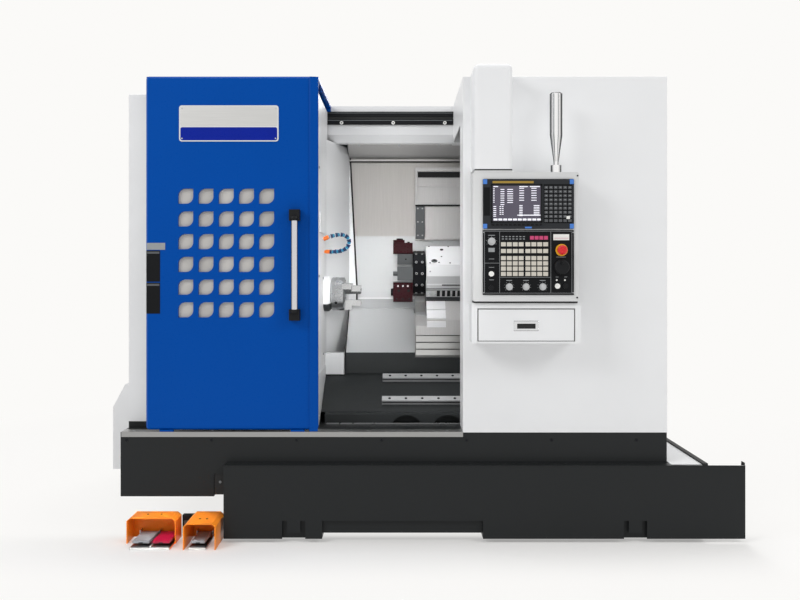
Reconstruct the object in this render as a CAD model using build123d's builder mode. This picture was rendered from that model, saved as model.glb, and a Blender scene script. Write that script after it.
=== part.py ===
"""Slant-bed turn-mill machine: base, enclosure, sliding door, spindle, turret, tailstock, pendant, foot switches."""
import os
from math import cos, radians, sin, tan

from build123d import *

# Overall layout, millimetres: X to the right, Y to the back, Z up, floor at zero
left_x = -1218.0
right_x = 1163.0
front_y = -800.0
rear_y = 700.0
deck_z = 463.0
roof_z = 2013.0
sheet = 4.0
overrun = 5.0
running_gap = 0.3
shaft_gap = 0.1

# Base pan, its raised kerb and the door sill
base_overhang_z = 185.0
base_underside_z = 282.0
overhang_end_x = -810.0
kerb_height = 28.0
cover_front_y = -692.0
kerb_depth = 40.0
base_round = 6.0
sill_height = 19.0
sill_depth = 60.0
sill_sheet = 3.0

# Levelling feet under the bed
foot_radius = 55.0
foot_pad_height = 40.0
foot_stem_radius = 24.0
foot_inset = 110.0
foot_row_y = -540.0

# Coolant tank with its long apron
apron_left_x = -757.0
apron_right_x = 1481.0
apron_y = -850.0
apron_bottom_z = 17.0
apron_top_z = 332.0
apron_lip = 30.0
tank_right_x = 1315.0
tank_rear_y = -640.0
tank_wing_rear_y = -300.0
tank_lid_step = 6.0
notch_width = 21.0
notch_pitch = 78.0
notch_top_z = 94.0
notch_tab_z = 42.0
notch_left_x = -456.0
notch_right_x = 1010.0
mouth_left_x = -334.0
mouth_right_x = 356.0
mouth_recess = 12.0
mouth_plate_z = 38.0

# Sheet covers around the work area
opening_left_x = -356.0
opening_right_x = 274.0
cover_drop = 54.0
cover_top_z = roof_z - cover_drop
header_front_y = -180.0
header_rear_y = -96.0
header_height = 183.0
header_bottom_z = roof_z - header_height
header_slope = 36.0
cover_round = 12.0
jamb_depth = 156.0
bar_hole_radius = 40.0

# Black rails that carry the door's roof part
rail_depth = 12.0
rail_height = 28.0
rail_drop = 30.0
rail_pitch = 38.0

# Service box at the left end
service_left_x = -1481.0
service_front_y = -170.0
service_rear_y = 450.0
service_bottom_z = 143.0
service_shoulder_z = 463.0
service_top_z = 580.0
service_slope = 62.0

# Spindle line and slanted bed
slant = 30.0
spindle_y = -350.0
spindle_z = 1052.0
turret_reach = 200.0
bed_left_x = -345.0
bed_front_y = -620.0
bed_toe_z = 509.0
bed_toe_depth = 60.0
bed_step_y = -310.0
bed_step_z = 735.0
bed_rear_y = 50.0
bed_back_z = 935.0
bed_crest_x = 82.0
arch_width = 138.0
arch_height = 42.0
arch_pitch = 190.0
arch_first_x = 30.0
arch_depth = 60.0

# Linear rails
tail_rail_left_x = -85.0
tail_rail_width = 34.0
tail_rail_height = 24.0
tail_rail_spacing = 173.0
tail_rail_front_y = -500.0
saddle_rail_width = 45.0
saddle_rail_height = 38.0
saddle_rail_reach = 104.0

# Work-area sheets
liner_x = -372.0
liner_bend_y = -250.0
liner_rear_x = -275.0
liner_rear_y = 50.0
liner_bottom_z = 640.0
wall_y = 56.0
wall_seam_z = 1354.0
wall_fall = 54.0
slide_right_x = 75.0
slide_front_y = -318.0
slide_front_z = 760.0
slide_rear_y = -50.0
slide_rear_z = 962.0
slide_skirt_z = 656.0

# Headstock, spindle and three-jaw chuck
headstock_left_x = -1020.0
headstock_width = 420.0
headstock_bottom_z = 740.0
headstock_top_z = 1290.0
nose_radius = 86.0
nose_end_x = -338.0
spindle_radius = 52.0
spindle_tail = 60.0
chuck_radius = 82.0
chuck_back_x = -334.0
chuck_face_x = -270.0
chuck_bore_radius = 26.0
jaw_width = 32.0
jaw_inner = 30.0
jaw_outer = 77.0
jaw_base = 34.0
jaw_step_outer = 56.0
jaw_step = 44.0
jaw_seat = 12.0
jaw_gap = 0.3
jaw_count = 3

# Coolant hose on the headstock wall
hose_radius = 9.0
hose_y = -400.0
hose_top_z = 1326.0
hose_drop = 68.0
hose_reach = 92.0
hose_tip = 24.0

# Saddle, cross slide and turret, in slant coordinates from the turret axis
disc_left_x = 65.0
disc_right_x = 129.0
disc_radius = 112.0
disc_stations = 12
disc_flat_chamfer = 5.0
turret_shaft_radius = 40.0
turret_shaft_length = 70.0
housing_left_x = 133.0
housing_right_x = 380.0
housing_half = 100.0
housing_top = 110.0
housing_floor = -10.0
slide_floor = -80.0
saddle_floor = -184.0
saddle_front = 140.0
saddle_rear = 150.0
saddle_right_x = 460.0
skirt_y = -326.0
skirt_bottom_z = 752.0
wing_left_x = 78.0
wing_top_z = 892.0
wing_rear_y = -262.0
wing_rear_z = 940.0
back_cover_left_x = 82.0
back_cover_front_y = 4.0
back_cover_bottom_z = 1330.0
back_cover_drop = 108.0
back_cover_top_z = header_bottom_z - back_cover_drop
back_cover_ribs = 3
rib_height = 10.0
rib_depth = 6.0
holder_length = 100.0
holder_width = 62.0
holder_inner = 46.0
holder_outer = 146.0
head_inner = 100.0
head_outer = 158.0
collet_radius = 20.0
collet_height = 22.0
collet_taper = 8.0
collet_setback = 66.0
face_collet_height = 12.0
static_length = 78.0
static_width = 70.0
spacer_width = 48.0
static_inner = 52.0
static_outer = 122.0
holder_round = 6.0
tool_radius = 11.0

# Tailstock on the front rails
tail_left_x = 890.0
tail_right_x = 1130.0
tail_half_width = 78.0
tail_bore_radius = 42.0
tail_barrel_radius = 84.0
quill_tip_x = 850.0
quill_length = 210.0
centre_radius = 24.0
centre_length = 62.0
centre_cone = 41.0

# Sliding door
door_left_x = -1107.0
door_bottom_z = 474.0
door_proud = 1.0
door_top_z = roof_z + door_proud
door_skin_depth = 12.0
door_roof_depth = 12.0
door_roof_rear_y = -194.0
door_bevel = 9.0
door_round = 14.0
leaf_size = 66.0
leaf_pitch_x = 88.0
leaf_pitch_z = 99.0
leaf_columns = 5
leaf_rows = 6
leaf_round = 31.0
leaf_centre_x = -757.0
leaf_centre_z = 1244.0
window_margin = 30.0
window_depth = 5.0
shoe_length = 60.0
handle_x = -455.5
handle_width = 28.0
handle_thickness = 20.0
handle_bottom_z = 1000.0
handle_top_z = 1383.0
handle_standoff = 22.0
mount_height = 48.0
mount_width = 46.0

# Pendant on its column
column_left_x = 307.0
column_right_x = 472.0
column_front_y = -944.0
column_bottom_z = 1591.0
column_proud = 21.0
column_top_z = roof_z + column_proud
column_round = 24.0
pendant_left_x = 304.0
pendant_right_x = 745.0
pendant_front_y = -944.0
pendant_depth = 99.0
pendant_bottom_z = 1039.0
pendant_top_z = 1578.0
pendant_round = 8.0
swivel_setback = 33.0
swivel_radius = 30.0
swivel_pin_radius = 20.0
swivel_pin_height = 45.0
unit_left_x = 345.0
unit_right_x = 724.0
unit_top_z = 1549.0
unit_bottom_z = 1341.0
unit_depth = 6.0
unit_round = 5.0
screen_left_x = 383.0
screen_right_x = 584.0
screen_top_z = 1524.0
screen_bottom_z = 1374.0
screen_recess = 3.0
panel_top_z = 1336.0
panel_bottom_z = 1066.0
panel_depth = 4.0
key_columns = 4
key_width = 20.0
key_height = 17.0
key_rise = 2.0
key_pitch_x = 24.6
key_left_x = 467.0
key_right_x = 569.0
upper_key_rows = 2
upper_key_pitch = 28.0
upper_key_z = 1263.0
lower_key_rows = 4
lower_key_pitch = 21.9
lower_key_z = 1186.6
button_radius = 11.0
button_rise = 6.0
button_round = 1.5
left_button_x = 380.0
left_button_z = 1154.0
left_button_drop = 58.0
right_button_x = 655.0
right_button_z = 1103.0
right_button_pitch = 34.0
mode_knob_x = 381.0
mode_knob_z = 1289.0
mode_knob_radius = 16.0
override_first_x = 454.5
override_pitch = 69.7
override_z = 1100.0
override_radius = 14.5
knob_rise = 18.0
knob_skirt = 5.0
knob_grip_share = 0.72
stop_x = 672.0
stop_z = 1253.0
stop_radius = 20.0
stop_collar_radius = 25.0
stop_collar_rise = 5.0
stop_rise = 26.0
stop_travel = 6.0
wheel_z = 1182.0
wheel_radius = 31.0
wheel_rise = 20.0
wheel_knob_radius = 6.0
wheel_knob_rise = 16.0
control_pin_radius = 4.0
control_pin_length = 14.0

# Signal lamp on the pendant
lamp_x = 660.0
lamp_radius = 26.0
lamp_collar_radius = 22.0
lamp_collar_height = 34.0
lamp_neck_radius = 10.0
lamp_neck_height = 12.0
lamp_taper_height = 118.0
lamp_tube_height = 176.0
lamp_round = 4.0

# Drawer under the pendant
case_left_x = 300.0
case_right_x = 757.0
case_front_y = -930.0
case_bottom_z = 863.0
case_top_z = 1031.0
case_wall = 5.0
drawer_gap = 1.5
drawer_margin_x = 24.0
drawer_margin_top = 22.0
drawer_margin_bottom = 8.0
drawer_wall = 4.0
drawer_front_depth = 10.0
drawer_back_gap = 12.0
pull_width = 104.0
pull_height = 42.0
pull_recess = 6.0
pull_z = 936.0

# Foot switches on the floor
pedal_front_y = -937.0
pedal_rear_y = -768.0
pedal_height = 110.0
pedal_wall = 4.0
pedal_base = 8.0
pedal_slope = 16.0
pedal_drop = 14.0
double_left_x = -1170.0
double_right_x = -959.0
double_front_y = -860.0
double_lug_x = -1132.0
double_middle_x = -1047.0
single_left_x = -907.0
single_right_x = -771.0
single_lug_xs = (-885.0, -815.0)
lug_reach = 13.0
treadle_toe_y = -922.0
treadle_heel_y = -790.0
treadle_top_z = 33.0
treadle_heel_z = 25.0
treadle_thickness = 10.0
treadle_pin_radius = 6.0
treadle_space = 5.0

# Electrical cabinet at the back
cabinet_left_x = -760.0
cabinet_right_x = 760.0
cabinet_bottom_z = 560.0
cabinet_top_z = 1900.0
cabinet_wall = 5.0
cabinet_door_depth = 22.0
cabinet_rear_y = 984.3
hinge_radius = 9.0
hinge_length = 70.0

# Directions of the slanted bed: along the slope towards the front, and square to it
along_y = -cos(radians(slant))
along_z = -sin(radians(slant))
turret_y = spindle_y - turret_reach * along_y
turret_z = spindle_z - turret_reach * along_z


def slant_point(along, above):
    """Give the (y, z) place of a point in slant coordinates from the turret axis."""
    y = turret_y + along * along_y + above * along_z
    z = turret_z + along * along_z - above * along_y
    return (y, z)


def block(x0, x1, y0, y1, z0, z1, mode=Mode.ADD):
    """Add or cut a block by its limits on the three axes."""
    with Locations(((x0 + x1) / 2, (y0 + y1) / 2, (z0 + z1) / 2)):
        Box(x1 - x0, y1 - y0, z1 - z0, mode=mode)


def round_bar(x, y, z, radius, length, axis, mode=Mode.ADD):
    """Add or cut a cylinder that starts at a point and runs along an axis."""
    with Locations(Plane((x, y, z), z_dir=axis)):
        Cylinder(radius, length, align=(Align.CENTER, Align.CENTER, Align.MIN), mode=mode)


def side_profile(points, x0, x1, mode=Mode.ADD):
    """Extrude an outline of (y, z) points from one X to another."""
    with BuildSketch(Plane((x0, 0, 0), x_dir=(0, 1, 0), z_dir=(1, 0, 0))) as outline:
        with BuildLine():
            Polyline(*points, close=True)
        make_face()
    extrude(outline.sketch, amount=x1 - x0, mode=mode)


def front_profile(points, y0, y1, mode=Mode.ADD):
    """Extrude an outline of (x, z) points from one Y back to another."""
    with BuildSketch(Plane((0, y0, 0), x_dir=(1, 0, 0), z_dir=(0, -1, 0))) as outline:
        with BuildLine():
            Polyline(*points, close=True)
        make_face()
    extrude(outline.sketch, amount=y0 - y1, mode=mode)


def save(piece, name):
    """Label a finished piece and write it as its own file."""
    piece.part.label = name
    export_step(piece.part, f"parts/{name}.step")


os.makedirs("parts", exist_ok=True)
towards_x = (1, 0, 0)
towards_y = (0, 1, 0)
towards_z = (0, 0, 1)

# Base pan: a sheet box whose left end stands clear of the floor, with a kerb under the left cover
with BuildPart() as base_pan:
    front_profile([(left_x, base_overhang_z), (overhang_end_x, base_overhang_z), (overhang_end_x, base_underside_z),
                   (right_x, base_underside_z), (right_x, deck_z), (left_x, deck_z)], front_y, rear_y)
    upright = base_pan.edges().filter_by(Axis.Z).group_by(Axis.Y)[0].sort_by(Axis.X)
    fillet([upright[0], upright[-1]], base_round)
    block(left_x, liner_x - sheet, cover_front_y, cover_front_y + kerb_depth, deck_z, deck_z + kerb_height)
save(base_pan, "base_pan")

# Door sill: a stainless angle over the front edge of the base
sill_right_x = opening_right_x
with BuildPart() as door_sill:
    sill_front_y = front_y - sill_sheet
    side_profile([(sill_front_y, deck_z - sill_height), (front_y, deck_z - sill_height), (front_y, deck_z),
                  (front_y + sill_depth, deck_z), (front_y + sill_depth, deck_z + sill_sheet),
                  (sill_front_y, deck_z + sill_sheet)], left_x + base_round, sill_right_x)
save(door_sill, "door_sill")

# Levelling feet: a pad and a stem under each corner and the middle of the bed
foot_xs = [overhang_end_x + foot_inset, (overhang_end_x + right_x) / 2, right_x - foot_inset]
with BuildPart() as levelling_feet:
    for foot_x in foot_xs:
        for foot_y in (foot_row_y, rear_y - foot_inset):
            round_bar(foot_x, foot_y, 0, foot_radius, foot_pad_height, towards_z)
            round_bar(foot_x, foot_y, foot_pad_height, foot_stem_radius,
                      base_underside_z - foot_pad_height, towards_z)
save(levelling_feet, "levelling_feet")

# Coolant tank: a long trough with a wing at the right end, and the apron plate that hides it
tank_front_y = apron_y + sheet
tank_top_z = base_underside_z
with BuildPart() as coolant_tank:
    block(apron_left_x + sheet, tank_right_x, tank_front_y + mouth_recess, tank_rear_y, apron_bottom_z, tank_top_z)
    block(right_x, tank_right_x, tank_rear_y, tank_wing_rear_y, apron_bottom_z, tank_top_z)
    block(right_x, tank_right_x, tank_front_y, tank_wing_rear_y, tank_top_z, apron_top_z - tank_lid_step)
    block(apron_left_x + sheet, tank_right_x, tank_front_y, tank_front_y + mouth_recess,
          notch_top_z + notch_width, tank_top_z)
    block(apron_left_x, apron_right_x, apron_y, tank_front_y, apron_bottom_z, apron_top_z)
    block(apron_left_x, right_x, tank_front_y, front_y, apron_top_z - sheet, apron_top_z)
    block(apron_right_x - sheet, apron_right_x, tank_front_y, tank_front_y + apron_lip, apron_bottom_z, apron_top_z)
    for pair_x in (notch_left_x, notch_right_x):
        for side in (-1, 1):
            slot_x = pair_x + side * notch_pitch / 2
            block(slot_x - notch_width / 2, slot_x + notch_width / 2, apron_y - overrun, tank_front_y,
                  apron_bottom_z - overrun, notch_top_z, mode=Mode.SUBTRACT)
        tab_reach = (notch_pitch - notch_width) / 2
        block(pair_x - tab_reach, pair_x + tab_reach, apron_y - overrun, tank_front_y,
              apron_bottom_z - overrun, notch_tab_z, mode=Mode.SUBTRACT)
    block(mouth_left_x, mouth_right_x, apron_y - overrun, tank_front_y, apron_bottom_z - overrun, notch_top_z,
          mode=Mode.SUBTRACT)
    block(mouth_left_x, mouth_right_x, tank_front_y, tank_rear_y + overrun, apron_bottom_z - overrun,
          mouth_plate_z, mode=Mode.SUBTRACT)
save(coolant_tank, "coolant_tank")

# Left cover: a front sheet folded back over the headstock room
with BuildPart() as left_front_panel:
    cover_bottom_z = deck_z + kerb_height
    inner_y = cover_front_y + sheet
    cover_rear_y = header_front_y - rail_depth
    side_profile([(cover_front_y, cover_bottom_z), (inner_y, cover_bottom_z), (inner_y, cover_top_z - sheet),
                  (cover_rear_y, cover_top_z - sheet), (cover_rear_y, cover_top_z),
                  (cover_front_y, cover_top_z)], left_x, liner_x - sheet)
    fold = left_front_panel.edges().filter_by(Axis.X).group_by(Axis.Z)[-1].sort_by(Axis.Y)[0]
    fillet(fold, sheet)
save(left_front_panel, "left_front_panel")

# Left side: one sheet with a step where the roof starts and a hole where bar stock is fed to the spindle
with BuildPart() as left_side_panel:
    side_profile([(inner_y, cover_bottom_z), (cover_front_y + kerb_depth, cover_bottom_z),
                  (cover_front_y + kerb_depth, deck_z), (rear_y - sheet, deck_z), (rear_y - sheet, roof_z - sheet),
                  (header_rear_y, roof_z - sheet), (header_rear_y, cover_top_z - sheet),
                  (inner_y, cover_top_z - sheet)], left_x, left_x + sheet)
    round_bar(left_x - overrun, spindle_y, spindle_z, bar_hole_radius, sheet + 2 * overrun, towards_x, Mode.SUBTRACT)
save(left_side_panel, "left_side_panel")

# Right cover: a front sheet folded back over the tailstock room
with BuildPart() as right_front_panel:
    right_inner_y = front_y + sheet
    side_profile([(front_y, deck_z), (right_inner_y, deck_z), (right_inner_y, roof_z - sheet),
                  (header_rear_y, roof_z - sheet), (header_rear_y, roof_z), (front_y, roof_z)],
                 opening_right_x, right_x)
    fold = right_front_panel.edges().filter_by(Axis.X).group_by(Axis.Z)[-1].sort_by(Axis.Y)[0]
    fillet(fold, sheet)
save(right_front_panel, "right_front_panel")

# Right jamb: the inner wall beside the door opening
with BuildPart() as right_jamb:
    jamb_rear_y = right_inner_y + jamb_depth
    side_profile([(right_inner_y, deck_z), (jamb_rear_y, deck_z), (jamb_rear_y, header_bottom_z),
                  (header_front_y, header_bottom_z), (header_front_y, roof_z - sheet),
                  (right_inner_y, roof_z - sheet)], opening_right_x, opening_right_x + sheet)
save(right_jamb, "right_jamb")

# Right side and rear sheets
with BuildPart() as right_side_panel:
    block(right_x - sheet, right_x, right_inner_y, rear_y - sheet, deck_z, roof_z - sheet)
save(right_side_panel, "right_side_panel")

with BuildPart() as rear_cover:
    block(left_x, right_x, rear_y - sheet, rear_y, deck_z, roof_z - sheet)
save(rear_cover, "rear_cover")

# Roof behind the header
with BuildPart() as roof_panel:
    block(left_x, right_x, header_rear_y, rear_y, roof_z - sheet, roof_z)
save(roof_panel, "roof_panel")

# Header beam: a folded box with a sloping underside, over the door opening
with BuildPart() as header_beam:
    side_profile([(header_front_y, header_bottom_z + header_slope), (header_front_y, roof_z),
                  (header_rear_y, roof_z), (header_rear_y, header_bottom_z),
                  (header_front_y + header_slope, header_bottom_z)], left_x + sheet, opening_right_x)
save(header_beam, "header_beam")

# Door rails: two black bars on the header
rail_top_z = roof_z - rail_drop
with BuildPart() as door_rails:
    for rail_z in (rail_top_z, rail_top_z - rail_pitch):
        block(left_x + sheet, opening_right_x, header_front_y - rail_depth, header_front_y,
              rail_z - rail_height, rail_z)
save(door_rails, "door_rails")

# Service box at the left end, with a sloped shoulder
with BuildPart() as service_box:
    front_profile([(service_left_x, service_bottom_z), (left_x, service_bottom_z), (left_x, service_top_z),
                   (service_left_x + service_slope, service_top_z), (service_left_x, service_shoulder_z)],
                  service_front_y, service_rear_y)
save(service_box, "service_box")

# Bed casting: a slanted front for the tailstock rails, a step, and a crest that carries the saddle
toe_inner_y = bed_front_y + bed_toe_depth
step_foot_z = bed_toe_z + (bed_step_y - toe_inner_y) * tan(radians(slant))
rail_floor = saddle_floor - saddle_rail_height
crest_front = slant_point(saddle_front, rail_floor)
crest_rear_z = crest_front[1] + (bed_rear_y - crest_front[0]) * tan(radians(slant))
with BuildPart() as bed_casting:
    side_profile([(bed_front_y, deck_z), (bed_front_y, bed_toe_z), (toe_inner_y, bed_toe_z),
                  (bed_step_y, step_foot_z), (bed_step_y, deck_z)], bed_left_x, right_x - sheet)
    side_profile([(bed_step_y, deck_z), (bed_step_y, bed_step_z), (slide_rear_y, bed_back_z),
                  (bed_rear_y, bed_back_z), (bed_rear_y, deck_z)], liner_rear_x, right_x - sheet)
    side_profile([(bed_step_y, bed_step_z), crest_front, (bed_rear_y, crest_rear_z), (bed_rear_y, bed_back_z),
                  (slide_rear_y, bed_back_z)], bed_crest_x, right_x - sheet)
    for arch_x in (arch_first_x, arch_first_x + arch_pitch):
        with BuildSketch(Plane((arch_x, bed_front_y, deck_z), x_dir=towards_x, z_dir=(0, -1, 0))):
            with BuildLine():
                Line((-arch_width / 2, 0), (arch_width / 2, 0))
                ThreePointArc((arch_width / 2, 0), (0, arch_height), (-arch_width / 2, 0))
            make_face()
        extrude(amount=-arch_depth, mode=Mode.SUBTRACT)
save(bed_casting, "bed_casting")

# Linear rails: two on the front slope for the tailstock, two on the crest for the saddle
def slanted_bar(y, z, width, height, x0, x1):
    """Add a bar along X whose foot sits square on the slanted bed at one (y, z) place."""
    half = width / 2
    foot = [(y + half * along_y, z + half * along_z), (y - half * along_y, z - half * along_z)]
    top = [(place[0] + height * along_z, place[1] - height * along_y) for place in reversed(foot)]
    side_profile(foot + top, x0, x1)


bed_right_x = right_x - sheet
tail_rail_ys = (tail_rail_front_y, tail_rail_front_y + tail_rail_spacing * cos(radians(slant)))
saddle_rail_places = [slant_point(reach, rail_floor) for reach in (saddle_rail_reach, -saddle_rail_reach)]
with BuildPart() as linear_rails:
    for rail_y in tail_rail_ys:
        floor_z = bed_toe_z + (rail_y - toe_inner_y) * tan(radians(slant))
        slanted_bar(rail_y, floor_z, tail_rail_width, tail_rail_height, tail_rail_left_x, bed_right_x)
    for place in saddle_rail_places:
        slanted_bar(place[0], place[1], saddle_rail_width, saddle_rail_height, bed_crest_x, bed_right_x)
save(linear_rails, "linear_rails")

# Headstock liner: a white sheet with one bend and a hole for the spindle nose
with BuildPart() as headstock_liner:
    with BuildSketch(Plane.XY.offset(liner_bottom_z)):
        with BuildLine():
            Polyline((liner_x, inner_y), (liner_x, liner_bend_y), (liner_rear_x, liner_rear_y),
                     (liner_rear_x - sheet, liner_rear_y), (liner_x - sheet, liner_bend_y),
                     (liner_x - sheet, inner_y), close=True)
        make_face()
    extrude(amount=header_bottom_z - liner_bottom_z)
    round_bar(liner_x - sheet - overrun, spindle_y, spindle_z, nose_radius, sheet + overrun + overrun, towards_x,
              mode=Mode.SUBTRACT)
save(headstock_liner, "headstock_liner")

# Stainless back wall, folded forward under the header
with BuildPart() as back_wall:
    fold_z = header_bottom_z - wall_fall
    side_profile([(wall_y, wall_seam_z), (wall_y + sheet, wall_seam_z), (wall_y + sheet, fold_z + sheet),
                  (header_rear_y, header_bottom_z), (header_rear_y, header_bottom_z - sheet), (wall_y, fold_z)],
                 liner_rear_x, right_x - sheet)
save(back_wall, "back_wall")

# Chip guard: one bent sheet, upright below the back wall and sloping down to the front of the bed
with BuildPart() as chip_guard:
    side_profile([(slide_front_y, slide_skirt_z), (slide_front_y, slide_front_z), (slide_rear_y, slide_rear_z),
                  (wall_y, slide_rear_z), (wall_y, wall_seam_z), (wall_y + sheet, wall_seam_z),
                  (wall_y + sheet, slide_rear_z - sheet), (slide_rear_y, slide_rear_z - sheet),
                  (slide_front_y + sheet, slide_front_z - sheet), (slide_front_y + sheet, slide_skirt_z)],
                 liner_rear_x, slide_right_x)
    block(slide_right_x, right_x - sheet, wall_y, wall_y + sheet, slide_rear_z - sheet, wall_seam_z)
save(chip_guard, "chip_guard")

# Headstock: a ribbed box casting with a round nose and a through bore
headstock_right_x = liner_x - sheet
headstock_half = headstock_width / 2
with BuildPart() as headstock:
    block(headstock_left_x, headstock_right_x, spindle_y - headstock_half, spindle_y + headstock_half,
          headstock_bottom_z, headstock_top_z)
    fillet(headstock.edges().filter_by(Axis.X), cover_round)
    round_bar(headstock_right_x, spindle_y, spindle_z, nose_radius, nose_end_x - headstock_right_x, towards_x)
    chamfer(headstock.edges().filter_by(GeomType.CIRCLE).sort_by(Axis.X)[-1], cover_round)
    block(headstock_left_x, headstock_right_x, spindle_y - headstock_half, spindle_y + headstock_half,
          deck_z, headstock_bottom_z)
    round_bar(headstock_left_x - overrun, spindle_y, spindle_z, spindle_radius + shaft_gap,
              nose_end_x - headstock_left_x + overrun + overrun, towards_x, mode=Mode.SUBTRACT)
save(headstock, "headstock")

# Spindle shaft through the headstock, with the closing cylinder on its tail
with BuildPart() as spindle_shaft:
    round_bar(headstock_left_x - spindle_tail, spindle_y, spindle_z, spindle_radius,
              chuck_back_x - headstock_left_x + spindle_tail, towards_x)
    round_bar(headstock_left_x - spindle_tail, spindle_y, spindle_z, chuck_radius,
              spindle_tail - running_gap, towards_x)
    round_bar(headstock_left_x - spindle_tail - overrun, spindle_y, spindle_z, chuck_bore_radius,
              chuck_back_x - headstock_left_x + spindle_tail + overrun + overrun, towards_x, mode=Mode.SUBTRACT)
save(spindle_shaft, "spindle_shaft")

# Chuck: a stepped round body with three radial jaw slots
chuck_plane = Plane((chuck_back_x, spindle_y, spindle_z), x_dir=(0, 0, -1), z_dir=towards_x)
jaw_angles = [index * 360 / jaw_count for index in range(jaw_count)]
with BuildPart(chuck_plane) as chuck_body:
    chuck_depth = chuck_face_x - chuck_back_x
    Cylinder(chuck_radius, chuck_depth, align=(Align.CENTER, Align.CENTER, Align.MIN))
    chamfer(chuck_body.edges().filter_by(GeomType.CIRCLE), running_gap + sheet)
    Cylinder(chuck_bore_radius, chuck_depth, align=(Align.CENTER, Align.CENTER, Align.MIN), mode=Mode.SUBTRACT)
    with BuildSketch(chuck_plane.offset(chuck_depth)):
        for angle in jaw_angles:
            with Locations(Rotation(0, 0, angle)):
                with Locations((chuck_radius / 2 + chuck_bore_radius / 2, 0)):
                    Rectangle(chuck_radius, jaw_width + jaw_gap * 2)
    extrude(amount=-jaw_seat, mode=Mode.SUBTRACT)
save(chuck_body, "chuck_body")

# Chuck jaws: stepped blocks that slide in the slots
for number, angle in enumerate(jaw_angles, start=1):
    spoke = (0, sin(radians(angle)), -cos(radians(angle)))
    jaw_plane = Plane((chuck_face_x - jaw_seat, spindle_y, spindle_z), x_dir=spoke, z_dir=towards_x)
    with BuildPart() as chuck_jaw:
        with BuildSketch(jaw_plane):
            with Locations(((jaw_inner + jaw_outer) / 2, 0)):
                Rectangle(jaw_outer - jaw_inner, jaw_width)
        extrude(amount=jaw_seat + jaw_base)
        with BuildSketch(jaw_plane.offset(jaw_seat + jaw_base)):
            with Locations(((jaw_inner + jaw_step_outer) / 2, 0)):
                Rectangle(jaw_step_outer - jaw_inner, jaw_width)
        extrude(amount=jaw_step)
    save(chuck_jaw, f"chuck_jaw_{number}")

# Coolant hose: a loop of tube out of the headstock wall and back towards the chuck
with BuildPart() as coolant_hose:
    bend_x = liner_x + hose_reach
    round_bar(liner_x, hose_y, hose_top_z, hose_radius, hose_reach, towards_x)
    round_bar(liner_x + hose_tip, hose_y, hose_top_z - hose_drop, hose_radius, hose_reach - hose_tip, towards_x)
    with BuildSketch(Plane((bend_x, hose_y, hose_top_z), x_dir=towards_y, z_dir=towards_x)):
        Circle(hose_radius)
    revolve(axis=Axis((bend_x, hose_y, hose_top_z - hose_drop / 2), (0, 1, 0)), revolution_arc=180)
save(coolant_hose, "coolant_hose")

# Saddle: a slanted plate on the crest rails
saddle_top = slide_floor - running_gap
with BuildPart() as saddle:
    side_profile([slant_point(saddle_front, saddle_floor + running_gap), slant_point(saddle_front, saddle_top),
                  slant_point(-saddle_rear, saddle_top), slant_point(-saddle_rear, saddle_floor + running_gap)],
                 housing_left_x, saddle_right_x)
save(saddle, "saddle")

# Saddle skirt: a stainless cover that hangs in front of the crest
skirt_top = slant_point(saddle_front + running_gap, saddle_top)
skirt_foot = slant_point(saddle_front + running_gap, saddle_floor)
with BuildPart() as saddle_skirt:
    side_profile([(skirt_y, skirt_bottom_z), (skirt_y + sheet, skirt_bottom_z),
                  (skirt_y + sheet, skirt_foot[1] - sheet), skirt_foot, skirt_top,
                  (skirt_y, skirt_foot[1])], housing_left_x, saddle_right_x)
    side_profile([(skirt_y, skirt_bottom_z), (skirt_y + sheet, skirt_bottom_z),
                  (skirt_y + sheet, wing_top_z - sheet), (wing_rear_y, wing_rear_z - sheet),
                  (wing_rear_y, wing_rear_z), (skirt_y, wing_top_z)],
                 wing_left_x, housing_left_x)
save(saddle_skirt, "saddle_skirt")

# Saddle back cover: a ribbed stainless box that rides behind the turret
with BuildPart() as saddle_back_cover:
    cover_foot = slant_point(-saddle_rear, saddle_top)
    cover_heel = slant_point(-saddle_rear, saddle_floor + running_gap)
    block(back_cover_left_x, saddle_right_x, back_cover_front_y, bed_rear_y, back_cover_bottom_z, back_cover_top_z)
    rib_pitch = (back_cover_top_z - back_cover_bottom_z) / (back_cover_ribs + 1)
    for rib in range(back_cover_ribs):
        rib_z = back_cover_bottom_z + rib_pitch * (rib + 1)
        block(back_cover_left_x, saddle_right_x, back_cover_front_y - rib_depth, back_cover_front_y,
              rib_z - rib_height / 2, rib_z + rib_height / 2)
    side_profile([cover_foot, cover_heel, (bed_rear_y, cover_heel[1]), (bed_rear_y, back_cover_bottom_z),
                  (cover_foot[0], back_cover_bottom_z)], housing_right_x + sheet, saddle_right_x)
save(saddle_back_cover, "saddle_back_cover")

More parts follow.
